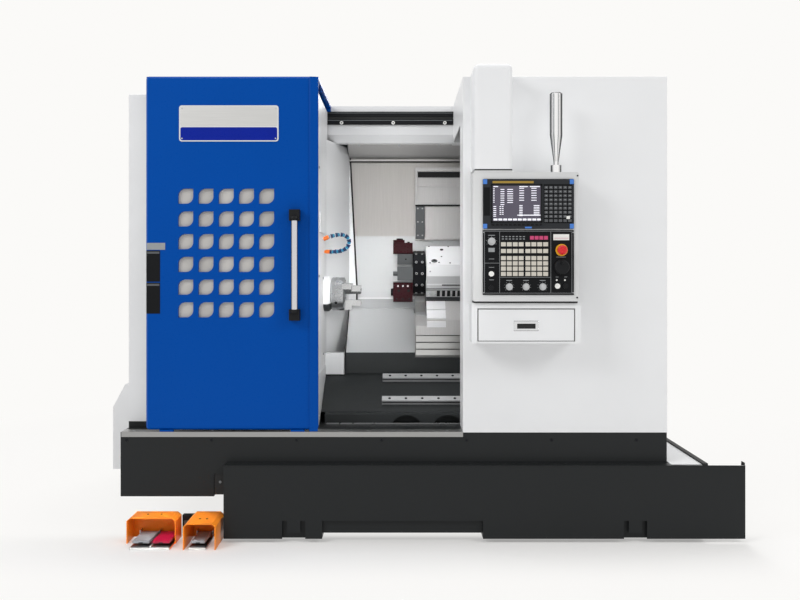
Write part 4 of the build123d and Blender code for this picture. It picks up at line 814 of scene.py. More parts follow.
class TURNMILL_OT_door_fittings(bpy.types.Operator):
    """Fit the bare plates, the fold and seal of the edge, and the handle's rings and screws to the door"""
    bl_idname = "turnmill.door_fittings"
    bl_label = "Door fittings"

    def execute(self, context):
        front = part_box("door_skin")[0].y / mm
        shape = bmesh.new()
        add_slab(shape, rounded_outline(-961, -528, 1729, 1886, 12, front), (0, -2.4, 0), 0)
        add_slab(shape, rounded_outline(-955, -534, 1796, 1881, 8, front - 2), (0, -1.4, 0), 1)
        add_slab(shape, rounded_outline(-955, -534, 1734, 1791, 8, front - 2), (0, -1.4, 0), 2)
        settle("bare_nameplate", shape, ("polished_chrome", "brushed_stainless_level", "blue_plate_enamel"),
               "door")
        pegs("nameplate_rivets", "door", "turned_steel", (-948, front - 3.8, 1873), (407, 0, 0), 2, 3.2, 1.6,
             "y", (0, 0, -131), 2)
        shape = bmesh.new()
        add_plate(shape, -1102, -1022, 1258, 1288, front, 1.2, 0, 0.4)
        for bottom, top in ((1119, 1255), (980, 1115)):
            add_plate(shape, -1104, -1044, bottom, top, front, 1.0, 1, 0.4)
            add_plate(shape, -1101, -1047, top - 14, top - 5, front, 1.3, 2)
        settle("bare_edge_plates", shape, ("grey_line_print", "black_panel_film", "dark_key_cap"), "door")
        # Fold along the door's closing edge
        shape = bmesh.new()
        add_slab(shape,
                 [(-394, front - 4, 468), (-390, front - 5.5, 468), (-358, front, 468), (-394, front, 468)],
                 (0, 0, 1543), 0)
        settle("door_edge_fold", shape, ("blue_powder_coat",), "door")
        # Clamp rings and screws of the bar handle
        low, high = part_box("door_handle")
        mid_x = (low.x + high.x) / 2 / mm
        shape = bmesh.new()
        for z in (990, 1393):
            add_lathe(shape, (mid_x, -834, z - 8), (0, 0, 1), [(17, 0), (19, 2), (19, 14), (17, 16)], 0, 28)
        settle("handle_rings", shape, ("black_nylon",), "door")
        pegs("handle_screws", "door", "blackened_steel", (mid_x, low.y / mm - 0.4, 975), (0, 0, 433), 2, 5,
             1.4, "y")
        # Foam seal inside the door's closing edge
        fit_boxes("door_edge_seal", "door", ("black_rubber",), ((-372, -788.2, 480), (-357, -784, 1980), 0))
        return {"FINISHED"}


class TURNMILL_OT_header_fittings(bpy.types.Operator):
    """Fit grooves, screws and seams to the header, the door rails and the sill"""
    bl_idname = "turnmill.header_fittings"
    bl_label = "Header fittings"

    def execute(self, context):
        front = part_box("door_rails")[0].y / mm
        pegs("rail_cap_screws", "machine", "white_key_cap", (-300, front - 2, 1925), (265, 0, 0), 3, 9, 5,
             "y")
        pegs("rail_cap_sockets", "machine", "black_nylon", (-300, front - 4.6, 1925), (265, 0, 0), 3, 3.4,
             0.8, "y", sides=6)
        blocks("rail_grooves", "machine", "grey_tool_steel", (-470, front - 0.4, 1976), (0, 0, -38), 2,
               (1480, 1.2, 3))
        blocks("rail_lips", "machine", "black_nylon", (-470, front - 1.0, 1962), (0, 0, -38), 2, (1480, 3, 5))
        fit_boxes("rail_filler", "machine", ("black_rubber",),
                  ((-1212, front - 0.5, 1944), (272, -180.5, 1956), 0))
        # Seams and screws of the stainless band above the back wall
        fit_boxes("band_seam", "machine", ("black_rubber", "brushed_stainless_level"),
                  ((-274, 36, 1756), (1150, 58, 1760), 0), ((-274, 30, 1760), (1150, 40, 1766), 1))
        pegs("band_screws", "machine", "turned_steel", (-215, -97, 1824), (210, 0, 0), 6, 6, 5, "y")
        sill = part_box("door_sill")[1].z / mm
        pegs("sill_screws", "machine", "turned_steel", (-1165, -770, sill + 0.2), (343, 0, 0), 5, 6, 2, "z")
        return {"FINISHED"}


# Work area: walls, rails, turret, chuck and hose

slant = math.radians(30)
slide_way = Vector((0, -math.cos(slant), -math.sin(slant)))
slide_up = Vector((0, -math.sin(slant), math.cos(slant)))
on_slope = (slant, 0.0, 0.0)
# Face of the headstock wall: the sheet is 4 mm thick and its fittings keep half a millimetre of air
liner_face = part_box("headstock_liner")[0].x / mm + 4.5
# Turret housing: its top above and its front before the turret axis, in the slide's own directions
housing_top, housing_front = 110, 100
# Front of the lower live holder, with a little air
holder_front = -208.6


def on_slide(x, along, above):
    """A point in the slide's own directions from the turret axis."""
    return turret_axis + Vector((x, 0, 0)) + slide_way * along + slide_up * above


class TURNMILL_OT_walls(bpy.types.Operator):
    """Fit seams, screws and small sheets to the walls and the bed"""
    bl_idname = "turnmill.walls"
    bl_label = "Walls and bed"

    def execute(self, context):
        # White closing strip and black gasket between the headstock wall and the back wall
        shape = bmesh.new()
        add_slab(shape,
                 [(-276, 44, 1775), (-270, 44, 1775), (-239, 44, 1090), (-239, 44, 975), (-276, 44, 975)],
                 (0, 5, 0), 0)
        add_slab(shape,
                 [(-274, 40, 1778), (-266, 40, 1778), (-230, 40, 1090), (-230, 40, 975), (-239, 40, 975),
                  (-239, 40, 1090)], (0, 4, 0), 1)
        settle("wall_gasket", shape, ("white_powder_coat", "black_rubber"), "machine")
        # Step sheet under the chuck, beside the chip slide
        fit_boxes("liner_step", "machine", ("white_powder_coat", "black_rubber"),
                  ((liner_face, -322, 645), (-277, -258, 757), 0, 3),
                  ((liner_face, -326, 640), (-277, -322, 652), 1),
                  ((liner_face, -600, 1345), (-366, -345, 1440), 0, 2))
        pegs("liner_screws", "machine", "grey_tool_steel", (liner_face, -427, 1131), (0, 0, -366), 2, 6, 4,
             "x")
        pegs("liner_screws_front", "machine", "grey_tool_steel", (liner_face, -613, 642), (0, 0, 500), 3, 6,
             4, "x")
        # Edge seal of the chip slide
        shape = bmesh.new()
        add_slab(shape,
                 [(-274, -321, 660), (-274, -321, 762), (-274, -52, 966), (-274, -40, 958), (-274, -306, 755),
                  (-274, -306, 660)], (6, 0, 0), 0)
        settle("slide_edge_seal", shape, ("black_rubber",), "machine")
        # Folded sheet that carries the slide up to the guard behind it
        shape = bmesh.new()
        add_slab(shape, [(-268, -51, 963), (-268, 55, 1011), (-268, 55, 1015), (-268, -51, 966)], (346, 0, 0),
                 0)
        add_box(shape, (-268, 53, 1014), (78, 55.8, 1019), 1)
        settle("guard_fold", shape, ("grey_powder_coat", "white_powder_coat"), "machine")
        # Floor plate on the bed's slope, left of the rails
        shape = bmesh.new()
        add_slab(shape, [(-372, -560, 510.5), (-372, -311, 654), (-372, -311, 650.5), (-372, -560, 507)],
                 (284, 0, 0), 0)
        settle("floor_plate", shape, ("black_cast_paint",), "machine")
        # Flank sheets that carry the headstock wall down to the sill and up to the door rails
        shape = bmesh.new()
        add_slab(shape,
                 [(liner_face, -690, 466), (liner_face, -638, 466), (liner_face, -560, 511),
                  (liner_face, -311, 655), (liner_face, -311, 700), (liner_face, -690, 700)], (3, 0, 0), 0)
        add_box(shape, (-375.8, -690, 1829), (-372.5, -198, 1978), 0)
        settle("flank_sheets", shape, ("white_powder_coat",), "machine")
        # Ceiling sheet behind the header, over the tailstock end
        fit_boxes("ceiling_sheet", "machine", ("white_powder_coat",),
                  ((274.5, -180, 1824), (1150, -96.5, 1829.5), 0, 1),
                  ((274.5, -180, 1828), (520, -176, 2004), 0))
        fit_boxes("toe_strip", "machine", ("turned_steel",), ((-344, -623.5, 464), (1150, -620, 470), 0))
        return {"FINISHED"}


class TURNMILL_OT_rail_screws(bpy.types.Operator):
    """Set the screw wells and side grooves of the tailstock rails"""
    bl_idname = "turnmill.rail_screws"
    bl_label = "Rail screws"

    def execute(self, context):
        pitch = context.scene.turnmill_sizes.rail_hole_pitch / mm
        low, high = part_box("linear_rails")
        count = int((high.x - low.x) / mm / pitch)
        for name, y, z in (("front", -512, 564.4), ("rear", -362.2, 650.9)):
            pegs(f"rail_wells_{name}", "machine", "blackened_steel", (low.x / mm + 36, y, z), (pitch, 0, 0),
                 count, 6.5, 1.0, on_slope, sides=16)
            edge_y, edge_z = y - 17 * math.cos(slant), z - 17 * math.sin(slant)
            blocks(f"rail_groove_{name}", "machine", "blackened_steel",
                   ((low.x + high.x) / 2 / mm, edge_y + 5.5, edge_z - 9.5), (1, 0, 0), 1,
                   ((high.x - low.x) / mm - 2, 1.4, 5), turn=on_slope)
        return {"FINISHED"}


class TURNMILL_OT_turret_fittings(bpy.types.Operator):
    """Fit bolts, caps, a coolant pipe and screw pockets to the turret, its housing and its slide"""
    bl_idname = "turnmill.turret_fittings"
    bl_label = "Turret fittings"

    def execute(self, context):
        pegs("holder_bolts", "turret", "polished_chrome", (-10, holder_front, 1088), (25, 0, 0), 3, 4.5, 4,
             "y")
        # Black discs in the bolt wells paint their shade
        pegs("holder_bolt_wells", "turret", "black_nylon", (-6, holder_front + 0.4, 1064), (50, 0, 0), 2, 7,
             1.6, "y")
        pegs("holder_lower_bolts", "turret", "blackened_steel", (-18, holder_front, 1022), (33, 0, 0), 3, 4.5,
             3, "y")
        fit_boxes("head_step", "turret", ("maroon_enamel",), ((-34.6, -206, 1309), (24, -148, 1324), 0, 1.5))
        pegs("head_bolts", "turret", "blackened_steel", (44, -191, 1311), (0, 28, 0), 2, 6.5, 8, "z")
        pegs("spacer_screw", "turret", "blackened_steel", (30, -200.4, 1225), (1, 0, 0), 1, 4, 2, "y")
        shape = bmesh.new()
        for turn in range(12):
            angle = math.radians(turn * 30)
            out = Vector((0, math.sin(angle), math.cos(angle)))
            for x in (82, 112):
                add_lathe(shape, turret_axis + Vector((x, 0, 0)) + out * 108.5, out,
                          [(7, 0), (7, 7), (5.5, 8.5), (3, 8.5), (3, 6)], 0, 12)
        settle("disc_rim_bolts", shape, ("turned_steel",), "turret")
        shape = bmesh.new()
        add_lathe(shape, (58, turret_axis.y, turret_axis.z), (1, 0, 0), [(34, 0), (40, 2), (40, 8)], 0, 40)
        add_lathe(shape, (55, turret_axis.y, turret_axis.z), (1, 0, 0), [(10, 0), (12, 1), (12, 5)], 1, 24)
        settle("disc_hub_cap", shape, ("turned_steel", "blackened_steel"), "turret")
        # Housing: inspection plug, eye bolt, cover screws
        shape = bmesh.new()
        add_lathe(shape, on_slide(214, -53, housing_top - 0.4), slide_up, [(9, 0), (9, 2)], 1, 24)
        add_lathe(shape, on_slide(172, 66, housing_top - 0.4), slide_up, [(15, 0), (15, 4), (11, 6)], 0, 28)
        add_lathe(shape, on_slide(172, 66, housing_top + 5), slide_up, [(8, 0), (8, 1.4)], 1, 20)
        for x, along in ((150, -88), (150, 85), (250, -88), (250, 85), (210, 20), (195, 80), (360, -88),
                         (360, 85)):
            add_lathe(shape, on_slide(x, along, housing_top - 0.4), slide_up, [(4.5, 0), (4.5, 2), (3, 3)], 0,
                      14)
        settle("housing_fittings", shape, ("grey_tool_steel", "black_nylon"), "cross_slide")
        shape = bmesh.new()
        for x in (150, 360):
            add_lathe(shape, on_slide(x, housing_front - 0.4, 70), slide_way,
                      [(4.5, 0), (4.5, 2.0), (3, 2.8)], 0, 14)
        low, high = [on_slide(133.5, housing_front + 0.1, above) for above in (0, 43)]
        add_slab(shape, [low, high, high + slide_way * 2, low + slide_way * 2], (246, 0, 0), 1)
        settle("housing_front", shape, ("turned_steel", "satin_steel"), "cross_slide")
        # Coolant pipe along the housing to the turret, with its union
        shape = bmesh.new()
        add_lathe(shape, on_slide(134, -112, 60), (1, 0, 0), [(8, 0), (8, 200)], 0, 20)
        add_lathe(shape, on_slide(150, -112, 60), (1, 0, 0), [(12, 0), (12, 18)], 1, 6)
        add_box(shape, on_slide(190, -112, 60) - Vector((0, 9, 9)),
                on_slide(206, -95, 60) + Vector((0, 4, 4)), 0)
        settle("turret_coolant_pipe", shape, ("blackened_steel", "turned_steel"), "cross_slide")
        # Slide front: dark joint under the housing, and a row of black plates that paint the shade of the
        # screw pockets
        shape = bmesh.new()
        for x in range(5):
            low, high = [on_slide(187 + 26 * x, housing_front + 0.2, above) for above in (-76, -42)]
            add_slab(shape, [low, high, high + slide_way * 0.8, low + slide_way * 0.8], (16, 0, 0), 0)
        for x, wide, near, far in ((212, 243, -12, -6), (134, 321, -30, -28)):
            low, high = [on_slide(x, housing_front + 0.2, above) for above in (near, far)]
            add_slab(shape, [low, high, high + slide_way * 1.2, low + slide_way * 1.2], (wide, 0, 0), 0)
        settle("slide_pockets", shape, ("black_rubber",), "cross_slide")
        return {"FINISHED"}


class TURNMILL_OT_slide_covers(bpy.types.Operator):
    """Lay the telescopic steps, frames and wipers over the saddle's covers"""
    bl_idname = "turnmill.slide_covers"
    bl_label = "Slide covers"

    def execute(self, context):
        shape = bmesh.new()
        top, fold = Vector((133.5, -258.2, 1012)), Vector((133.5, -326, 922.5))
        down = (fold - top).normalized()
        out = Vector((0, down.z, -down.y))
        for k in range(2):
            start = top + down * (4 + 54 * k) + out * 0.2
            add_slab(shape, [start, start + down * 50, start + down * 50 + out * 7, start + out * 7],
                     (94, 0, 0), 0)
        add_box(shape, (133.5, -332, 886), (227.5, -326.2, 916), 0, 1.5)
        settle("telescopic_steps", shape, ("white_powder_coat",), "saddle")
        skirt_pitch, skirt_wide = 34, 379
        blocks("skirt_steps", "saddle", "brushed_stainless_level", (268.5, -328.5, 829), (0, 0, -skirt_pitch),
               3, (skirt_wide, 5, 26))
        blocks("skirt_lines", "saddle", "black_rubber", (268.5, -327.5, 845), (0, 0, -skirt_pitch), 3,
               (skirt_wide, 3, 3))
        # Back cover: frame, dark wiper under the top lip, narrow upright cover, screws
        low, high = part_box("saddle_back_cover")
        left, right = low.x / mm + 0.5, high.x / mm - 1
        fit_boxes("back_cover_frame", "saddle", ("satin_stainless", "black_rubber", "grey_tool_steel"),
                  ((left, -14, 1698), (right, 3, 1720), 0, 1), ((left, -14, 1520), (94, 3, 1698), 0, 1),
                  ((96, -4, 1668), (right, 3.5, 1697), 1), ((84, -9, 1336), (132, 3.5, 1512), 2, 2),
                  ((left, -12, 1513), (right, 3.5, 1521), 1), ((139, -6, 1336), (right, 3.5, 1509), 0, 1))
        pegs("back_cover_screws", "saddle", "turned_steel", (90, -14.6, 1705), (0, 0, -80), 3, 4, 3, "y",
             (180, 0, 12), 3)
        pegs("wiper_screws", "saddle", "turned_steel", (96, -10, 1500), (24, 0, 0), 2, 4, 3, "y", (0, 0, -72),
             3)
        return {"FINISHED"}


class TURNMILL_OT_chuck_fittings(bpy.types.Operator):
    """Set the screws of the chuck's face, rim and jaws"""
    bl_idname = "turnmill.chuck_fittings"
    bl_label = "Chuck fittings"

    def execute(self, context):
        low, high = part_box("chuck_body")
        face = high.x / mm
        axis_y, axis_z = (low.y + high.y) / 2 / mm, (low.z + high.z) / 2 / mm
        angles = [math.radians(60 + 120 * turn) for turn in range(3)]
        spokes = [Vector((0, math.sin(angle), -math.cos(angle))) for angle in angles]
        shape = bmesh.new()
        for out in spokes:
            for radius, size in ((66, 5), (42, 4)):
                add_lathe(shape, Vector((face - 0.5, axis_y, axis_z)) + out * radius, (1, 0, 0),
                          [(size, 0), (size, 1.2), (size - 1.5, 2)], 0, 16)
        settle("chuck_face_screws", shape, ("blackened_steel",), "spindle")
        shape = bmesh.new()
        for out in spokes:
            add_lathe(shape, Vector((-310, axis_y, axis_z)) + out * 81, out, [(8, 0), (8, 1.6)], 0, 6)
        settle("chuck_rim_sockets", shape, ("black_nylon",), "spindle")
        for index in (1, 2, 3):
            low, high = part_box(f"chuck_jaw_{index}")
            centre = (low + high) / 2 / mm
            out = (Vector((0, centre.y - axis_y, centre.z - axis_z))).normalized()
            shape = bmesh.new()
            for radius, x in ((43, high.x / mm), (66, -236)):
                add_lathe(shape, Vector((x - 0.6, axis_y, axis_z)) + out * radius, (1, 0, 0),
                          [(6.5, 0), (6.5, 1.0), (4, 1.4)], 0, 20)
            settle(f"jaw_screws_{index}", shape, ("blackened_steel",), f"jaw_{index}")
        return {"FINISHED"}


def hose_path():
    """Centre line of the coolant hose: out of the wall, over a loop and back."""
    knots = [Vector((x, -400, z)) * mm for x, z in ((-372, 1320), (-340, 1333), (-294, 1342), (-262, 1334),
                                                    (-248, 1310), (-258, 1280), (-289, 1263), (-325, 1259),
                                                    (-352, 1259))]
    ends = [knots[0], *knots, knots[-1]]
    points = []
    for a, b, c, d in zip(ends, ends[1:], ends[2:], ends[3:]):
        for t in (0, 0.25, 0.5, 0.75):
            points.append((2 * b + (c - a) * t + (2 * a - 5 * b + 4 * c - d) * t ** 2
                           + (3 * b - a - 3 * c + d) * t ** 3) / 2)
    return [*points, knots[-1]]


class TURNMILL_OT_coolant_hose(bpy.types.Operator):
    """Thread the jointed coolant hose, with its orange nozzle and wall end"""
    bl_idname = "turnmill.coolant_hose"
    bl_label = "Coolant hose"

    def execute(self, context):
        points, radius = hose_path(), 11.5 * mm
        hose = repeat("hose", "hose_links", "machine", "hose_blue", points[2:-3], Count=11, Wide=radius,
                      Narrow=radius * 0.6, Length=17 * mm)
        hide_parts("coolant_hose")
        # Teal collars between the links: painted highlights of the hose
        repeat("hose", "hose_collars", "machine", "hose_teal", points[3:-4], Count=10, Wide=radius * 0.86,
               Narrow=radius * 0.6, Length=9 * mm)
        repeat("hose", "hose_wall_end", "machine", "hose_orange", points[:3], Count=2, Wide=radius,
               Narrow=radius * 0.8, Length=14 * mm)
        repeat("hose", "hose_nozzle", "machine", "hose_orange", points[-4:], Count=3, Wide=radius * 0.95,
               Narrow=radius * 0.55, Length=16 * mm)
        return {"FINISHED"}


# Foot switches and base

class TURNMILL_OT_foot_switches(bpy.types.Operator):
    """Rib the treadles and fit lips, tread plates, screws and the link box to the foot switches"""
    bl_idname = "turnmill.foot_switches"
    bl_label = "Foot switches"

    def execute(self, context):
        for side, rib in (("left", "treadle_grey"), ("middle", "treadle_red"), ("right", "treadle_grey")):
            low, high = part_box(f"treadle_{side}")
            wide, centre = (high.x - low.x) / mm - 14, (low.x + high.x) / 2 / mm
            start = (centre, -914, 33.2)
            blocks(f"treadle_ribs_{side}", f"treadle_{side}", rib, start, (0, 11.4, -0.17), 10,
                   (wide, 4.5, 1.6))
            fit_boxes(f"treadle_lip_{side}", f"treadle_{side}", (rib, "black_rubber"),
                      ((centre - wide / 2, -923.6, 24.5), (centre + wide / 2, -921.8, 33.6), 0, 0.5),
                      ((centre - 9, -924.4, 22.8), (centre + 9, -923.2, 28), 1))
        for name, x0, x1 in (("double", -1130, -964), ("single", -883, -813)):
            shape = bmesh.new()
            add_box(shape, (x0, -937.2, 1), (x1, -933, 9.4), 0, 0.8)
            add_box(shape, (x0 + 3, -931, 8), (x1 - 3, -810, 9), 1)
            if name == "double":
                add_box(shape, (-1047, -934, 8.5), (-1043, -800, 15), 0, 0.5)
            settle(f"tread_plate_{name}", shape, ("white_key_cap", "grey_tool_steel"), "machine")
            blocks(f"tread_ribs_{name}", "machine", "turned_steel", ((x0 + x1) / 2, -928.5, 9.4), (0, 7.5, 0),
                   3, (x1 - x0 - 10, 2.6, 1.4))
        pegs("hood_screws_double", "machine", "blackened_steel", (-1092, -812, 110.6), (58, 0, 0), 2, 4.5,
             1.6, "z")
        pegs("hood_screws_single", "machine", "blackened_steel", (-852, -872, 110.6), (30, 0, 0), 2, 4.5, 1.6,
             "z")
        # Black link box behind the two guards
        fit_boxes("switch_link_box", "machine", ("black_nylon", "dark_key_cap"),
                  ((-957, -767.5, 1), (-884, -742, 94), 0, 3), ((-949, -769, 20), (-892, -766, 70), 1))
        return {"FINISHED"}


class TURNMILL_OT_base_fittings(bpy.types.Operator):
    """Fit the base recess and screws, the apron's fold and the fittings of the tank's lid"""
    bl_idname = "turnmill.base_fittings"
    bl_label = "Base fittings"

    def execute(self, context):
        screw = context.scene.turnmill_sizes.screw_radius / mm
        # Black box in the base's recess paints its shade
        fit_boxes("base_recess", "machine", ("black_rubber",), ((-809, -797, 192), (-758, -760, 284), 0))
        pegs("base_recess_screw", "machine", "grey_tool_steel", (-783, -797.6, 247), (1, 0, 0), 1, screw, 3,
             "y")
        # Edge fold along the top of the tank's apron
        fit_boxes("apron_fold", "machine", ("charcoal_powder_coat",),
                  ((-756, -851.2, 326), (1480, -849.5, 330.5), 0, 0.6))
        pegs("base_screws", "machine", "blackened_steel", (-1190, -801, 430), (370, 0, 0), 7, screw, 3, "y")
        # Lid of the tank: a black lip from front to rear, a pale tray beside it and the end's upstand
        shape = bmesh.new()
        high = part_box("coolant_tank")[1] / mm
        top, end = high.z, high.x
        add_box(shape, (1300, -848, top - 0.5), (1322, -326, top + 8), 0, 0.8)
        add_box(shape, (1168, -836, top - 0.5), (1300, -330, top + 1.5), 1, 0.6)
        add_box(shape, (end - 5, -848, top - 0.5), (end - 1, -820, top + 11), 0)
        settle("tank_lid_fittings", shape, ("black_rubber", "white_powder_coat"), "machine")
        return {"FINISHED"}


# Sides, back and roof

class TURNMILL_OT_cabinet_fittings(bpy.types.Operator):
    """Fit vents, fans, lifting plugs and the latch to the electrical cabinet"""
    bl_idname = "turnmill.cabinet_fittings"
    bl_label = "Cabinet fittings"

    def execute(self, context):
        sizes = context.scene.turnmill_sizes
        screw, slots = sizes.screw_radius / mm, sizes.louvre_count
        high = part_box("electrical_cabinet")[1] / mm
        right, top = high.x, high.z
        middle, half_hood, half_bar, vent_pitch = 826, 66, 54, 26
        # Fan hoods and louvres on the latch side, louvres on the hinge side
        shape = bmesh.new()
        for z in (1560, 1720):
            add_box(shape, (right - 0.5, middle - half_hood, z - half_hood),
                    (right + 14, middle + half_hood, z + half_hood), 0, 3)
            add_lathe(shape, (right + 13.5, middle, z), (1, 0, 0), [(56, 0), (56, 1.2), (52, 1.6)], 1, 40)
            for radius in (14, 28, 42):
                add_lathe(shape, (right + 14.8, middle, z), (1, 0, 0),
                          [(radius, 0), (radius, 1.4), (radius - 3, 1.4), (radius - 3, 0)], 2, 40)
            add_box(shape, (right + 14.6, middle - half_bar, z - 2), (right + 16.4, middle + half_bar, z + 2),
                    2)
            add_box(shape, (right + 14.6, middle - 2, z - half_bar), (right + 16.4, middle + 2, z + half_bar),
                    2)
        settle("fan_hoods", shape, ("grey_powder_coat", "black_nylon", "turned_steel"), "machine")
        # Black strips behind the louvres paint the shade in their slots
        for name, x in (("latch_side", right), ("hinge_side", -right)):
            blocks(f"cabinet_slots_{name}", "machine", "black_rubber", (x, middle, 700), (0, 0, vent_pitch),
                   slots, (1.6, 150, 9))
            blocks(f"cabinet_louvres_{name}", "machine", "grey_powder_coat", (x, middle, 708),
                   (0, 0, vent_pitch), slots, (9, 156, 9), turn=(0.0, math.copysign(0.5, x), 0.0))
        # Two fields of slots cut into the door, lined in black as painted shade
        tree, ids = slot_tree()
        modifier = nodes["cabinet_door"].modifiers.new("vents", "NODES")
        modifier.node_group = tree
        for label, value in {"Start": sized(-420, 982, 640), "Along": sized(0, 0, vent_pitch), "Count": slots,
                             "Across": sized(840, 0, 0), "Rows": 2, "Size": sized(250, 20, 9),
                             "Finish": finishes["black_rubber"]}.items():
            modifier[ids[label]] = value
        # Lifting plugs and the folded rain lip on top
        pegs("cabinet_lift_plugs", "machine", "turned_steel", (-690, 740, top + 6), (1380, 0, 0), 2, 20, 14,
             "z", (0, 180, 0), 2, 6)
        fit_boxes("cabinet_rain_lip", "machine", ("grey_powder_coat",),
                  ((-758, 702, top - 0.5), (758, 716, top + 6), 0, 1.5))
        # Latch lever in its recess
        shape = bmesh.new()
        add_box(shape, (674, 977, 1180), (708, 982, 1290), 0, 2)
        add_lathe(shape, (691, 976.5, 1180), (0, 1, 0), [(12, 0), (12, 6.5)], 1, 24)
        settle("cabinet_latch", shape, ("black_nylon", "turned_steel"), "cabinet_door")
        pegs("cabinet_foot_screws", "machine", "turned_steel", (-700, 720, 557.5), (350, 0, 0), 5, screw, 4,
             "z")
        return {"FINISHED"}


class TURNMILL_OT_cabinet_inside(bpy.types.Operator):
    """Mount drives, breakers, contactors, terminals and wiring ducts in the electrical cabinet"""
    bl_idname = "turnmill.cabinet_inside"
    bl_label = "Cabinet inside"

    def execute(self, context):
        # Mounting plate with a ladder of wiring ducts
        shape = bmesh.new()
        add_box(shape, (-715, 704.5, 600), (715, 709, 1860), 0)
        for z in (660, 1010, 1400, 1790):
            add_box(shape, (-690, 708.5, z - 30), (690, 768, z + 30), 1, 2)
        for x in (-690, 690):
            add_box(shape, (x - 28, 708.5, 690), (x + 28, 767, 1760), 1, 2)
        add_box(shape, (-630, 708.5, 730), (-450, 860, 930), 2, 4)
        add_box(shape, (440, 708.5, 720), (630, 820, 950), 3, 4)
        settle("cabinet_plate", shape, ("satin_stainless", "grey_powder_coat", "charcoal_powder_coat",
                                        "white_key_cap"), "machine")
        # Axis drives, breakers and contactors, terminals
        drive_row, drive_pitch, drives = -520, (130, 0, 0), 9
        breaker_row, breaker_pitch, breakers = -600, (25, 0, 0), 49
        blocks("drive_modules", "machine", "pale_powder_coat", (drive_row, 800, 1595), drive_pitch, drives,
               (116, 184, 300))
        blocks("drive_fronts", "machine", "dark_key_cap", (drive_row, 892, 1660), drive_pitch, drives,
               (78, 3, 96))
        blocks("drive_plugs", "machine", "black_nylon", (drive_row, 894, 1520), drive_pitch, drives,
               (64, 12, 34), (0, 0, 46), 2)
        blocks("breakers", "machine", "white_key_cap", (breaker_row, 740, 1300), breaker_pitch, breakers,
               (22, 66, 90))
        blocks("breaker_levers", "machine", "black_nylon", (breaker_row, 776, 1300), breaker_pitch, breakers,
               (9, 10, 22))
        blocks("contactors", "machine", "charcoal_powder_coat", (-580, 756, 1130), (89, 0, 0), 14,
               (70, 96, 110))
        blocks("terminals", "machine", "beige_key_film", (-400, 730, 840), (10, 0, 0), 80, (8.6, 44, 62))
        return {"FINISHED"}


def access_sheet(shape, across, wall, out, low, high):
    """A screwed-on sheet over a slightly larger black sheet that paints the shade of its gap, on a wall
    across X (0) or Y (1), from low to high.
    """
    # The larger black sheet underneath paints the shade of the gap round the sheet
    for rise, edge, index in ((0.8, 0, 1), (2.4, 4, 0)):
        near, far = sorted((wall - 0.4 * out, wall + rise * out))
        ends = [(near, low[0] + edge, low[1] + edge), (far, high[0] - edge, high[1] - edge)]
        if across == 1:
            ends = [(x, y, z) for y, x, z in ends]
        add_box(shape, *ends, index, 1)


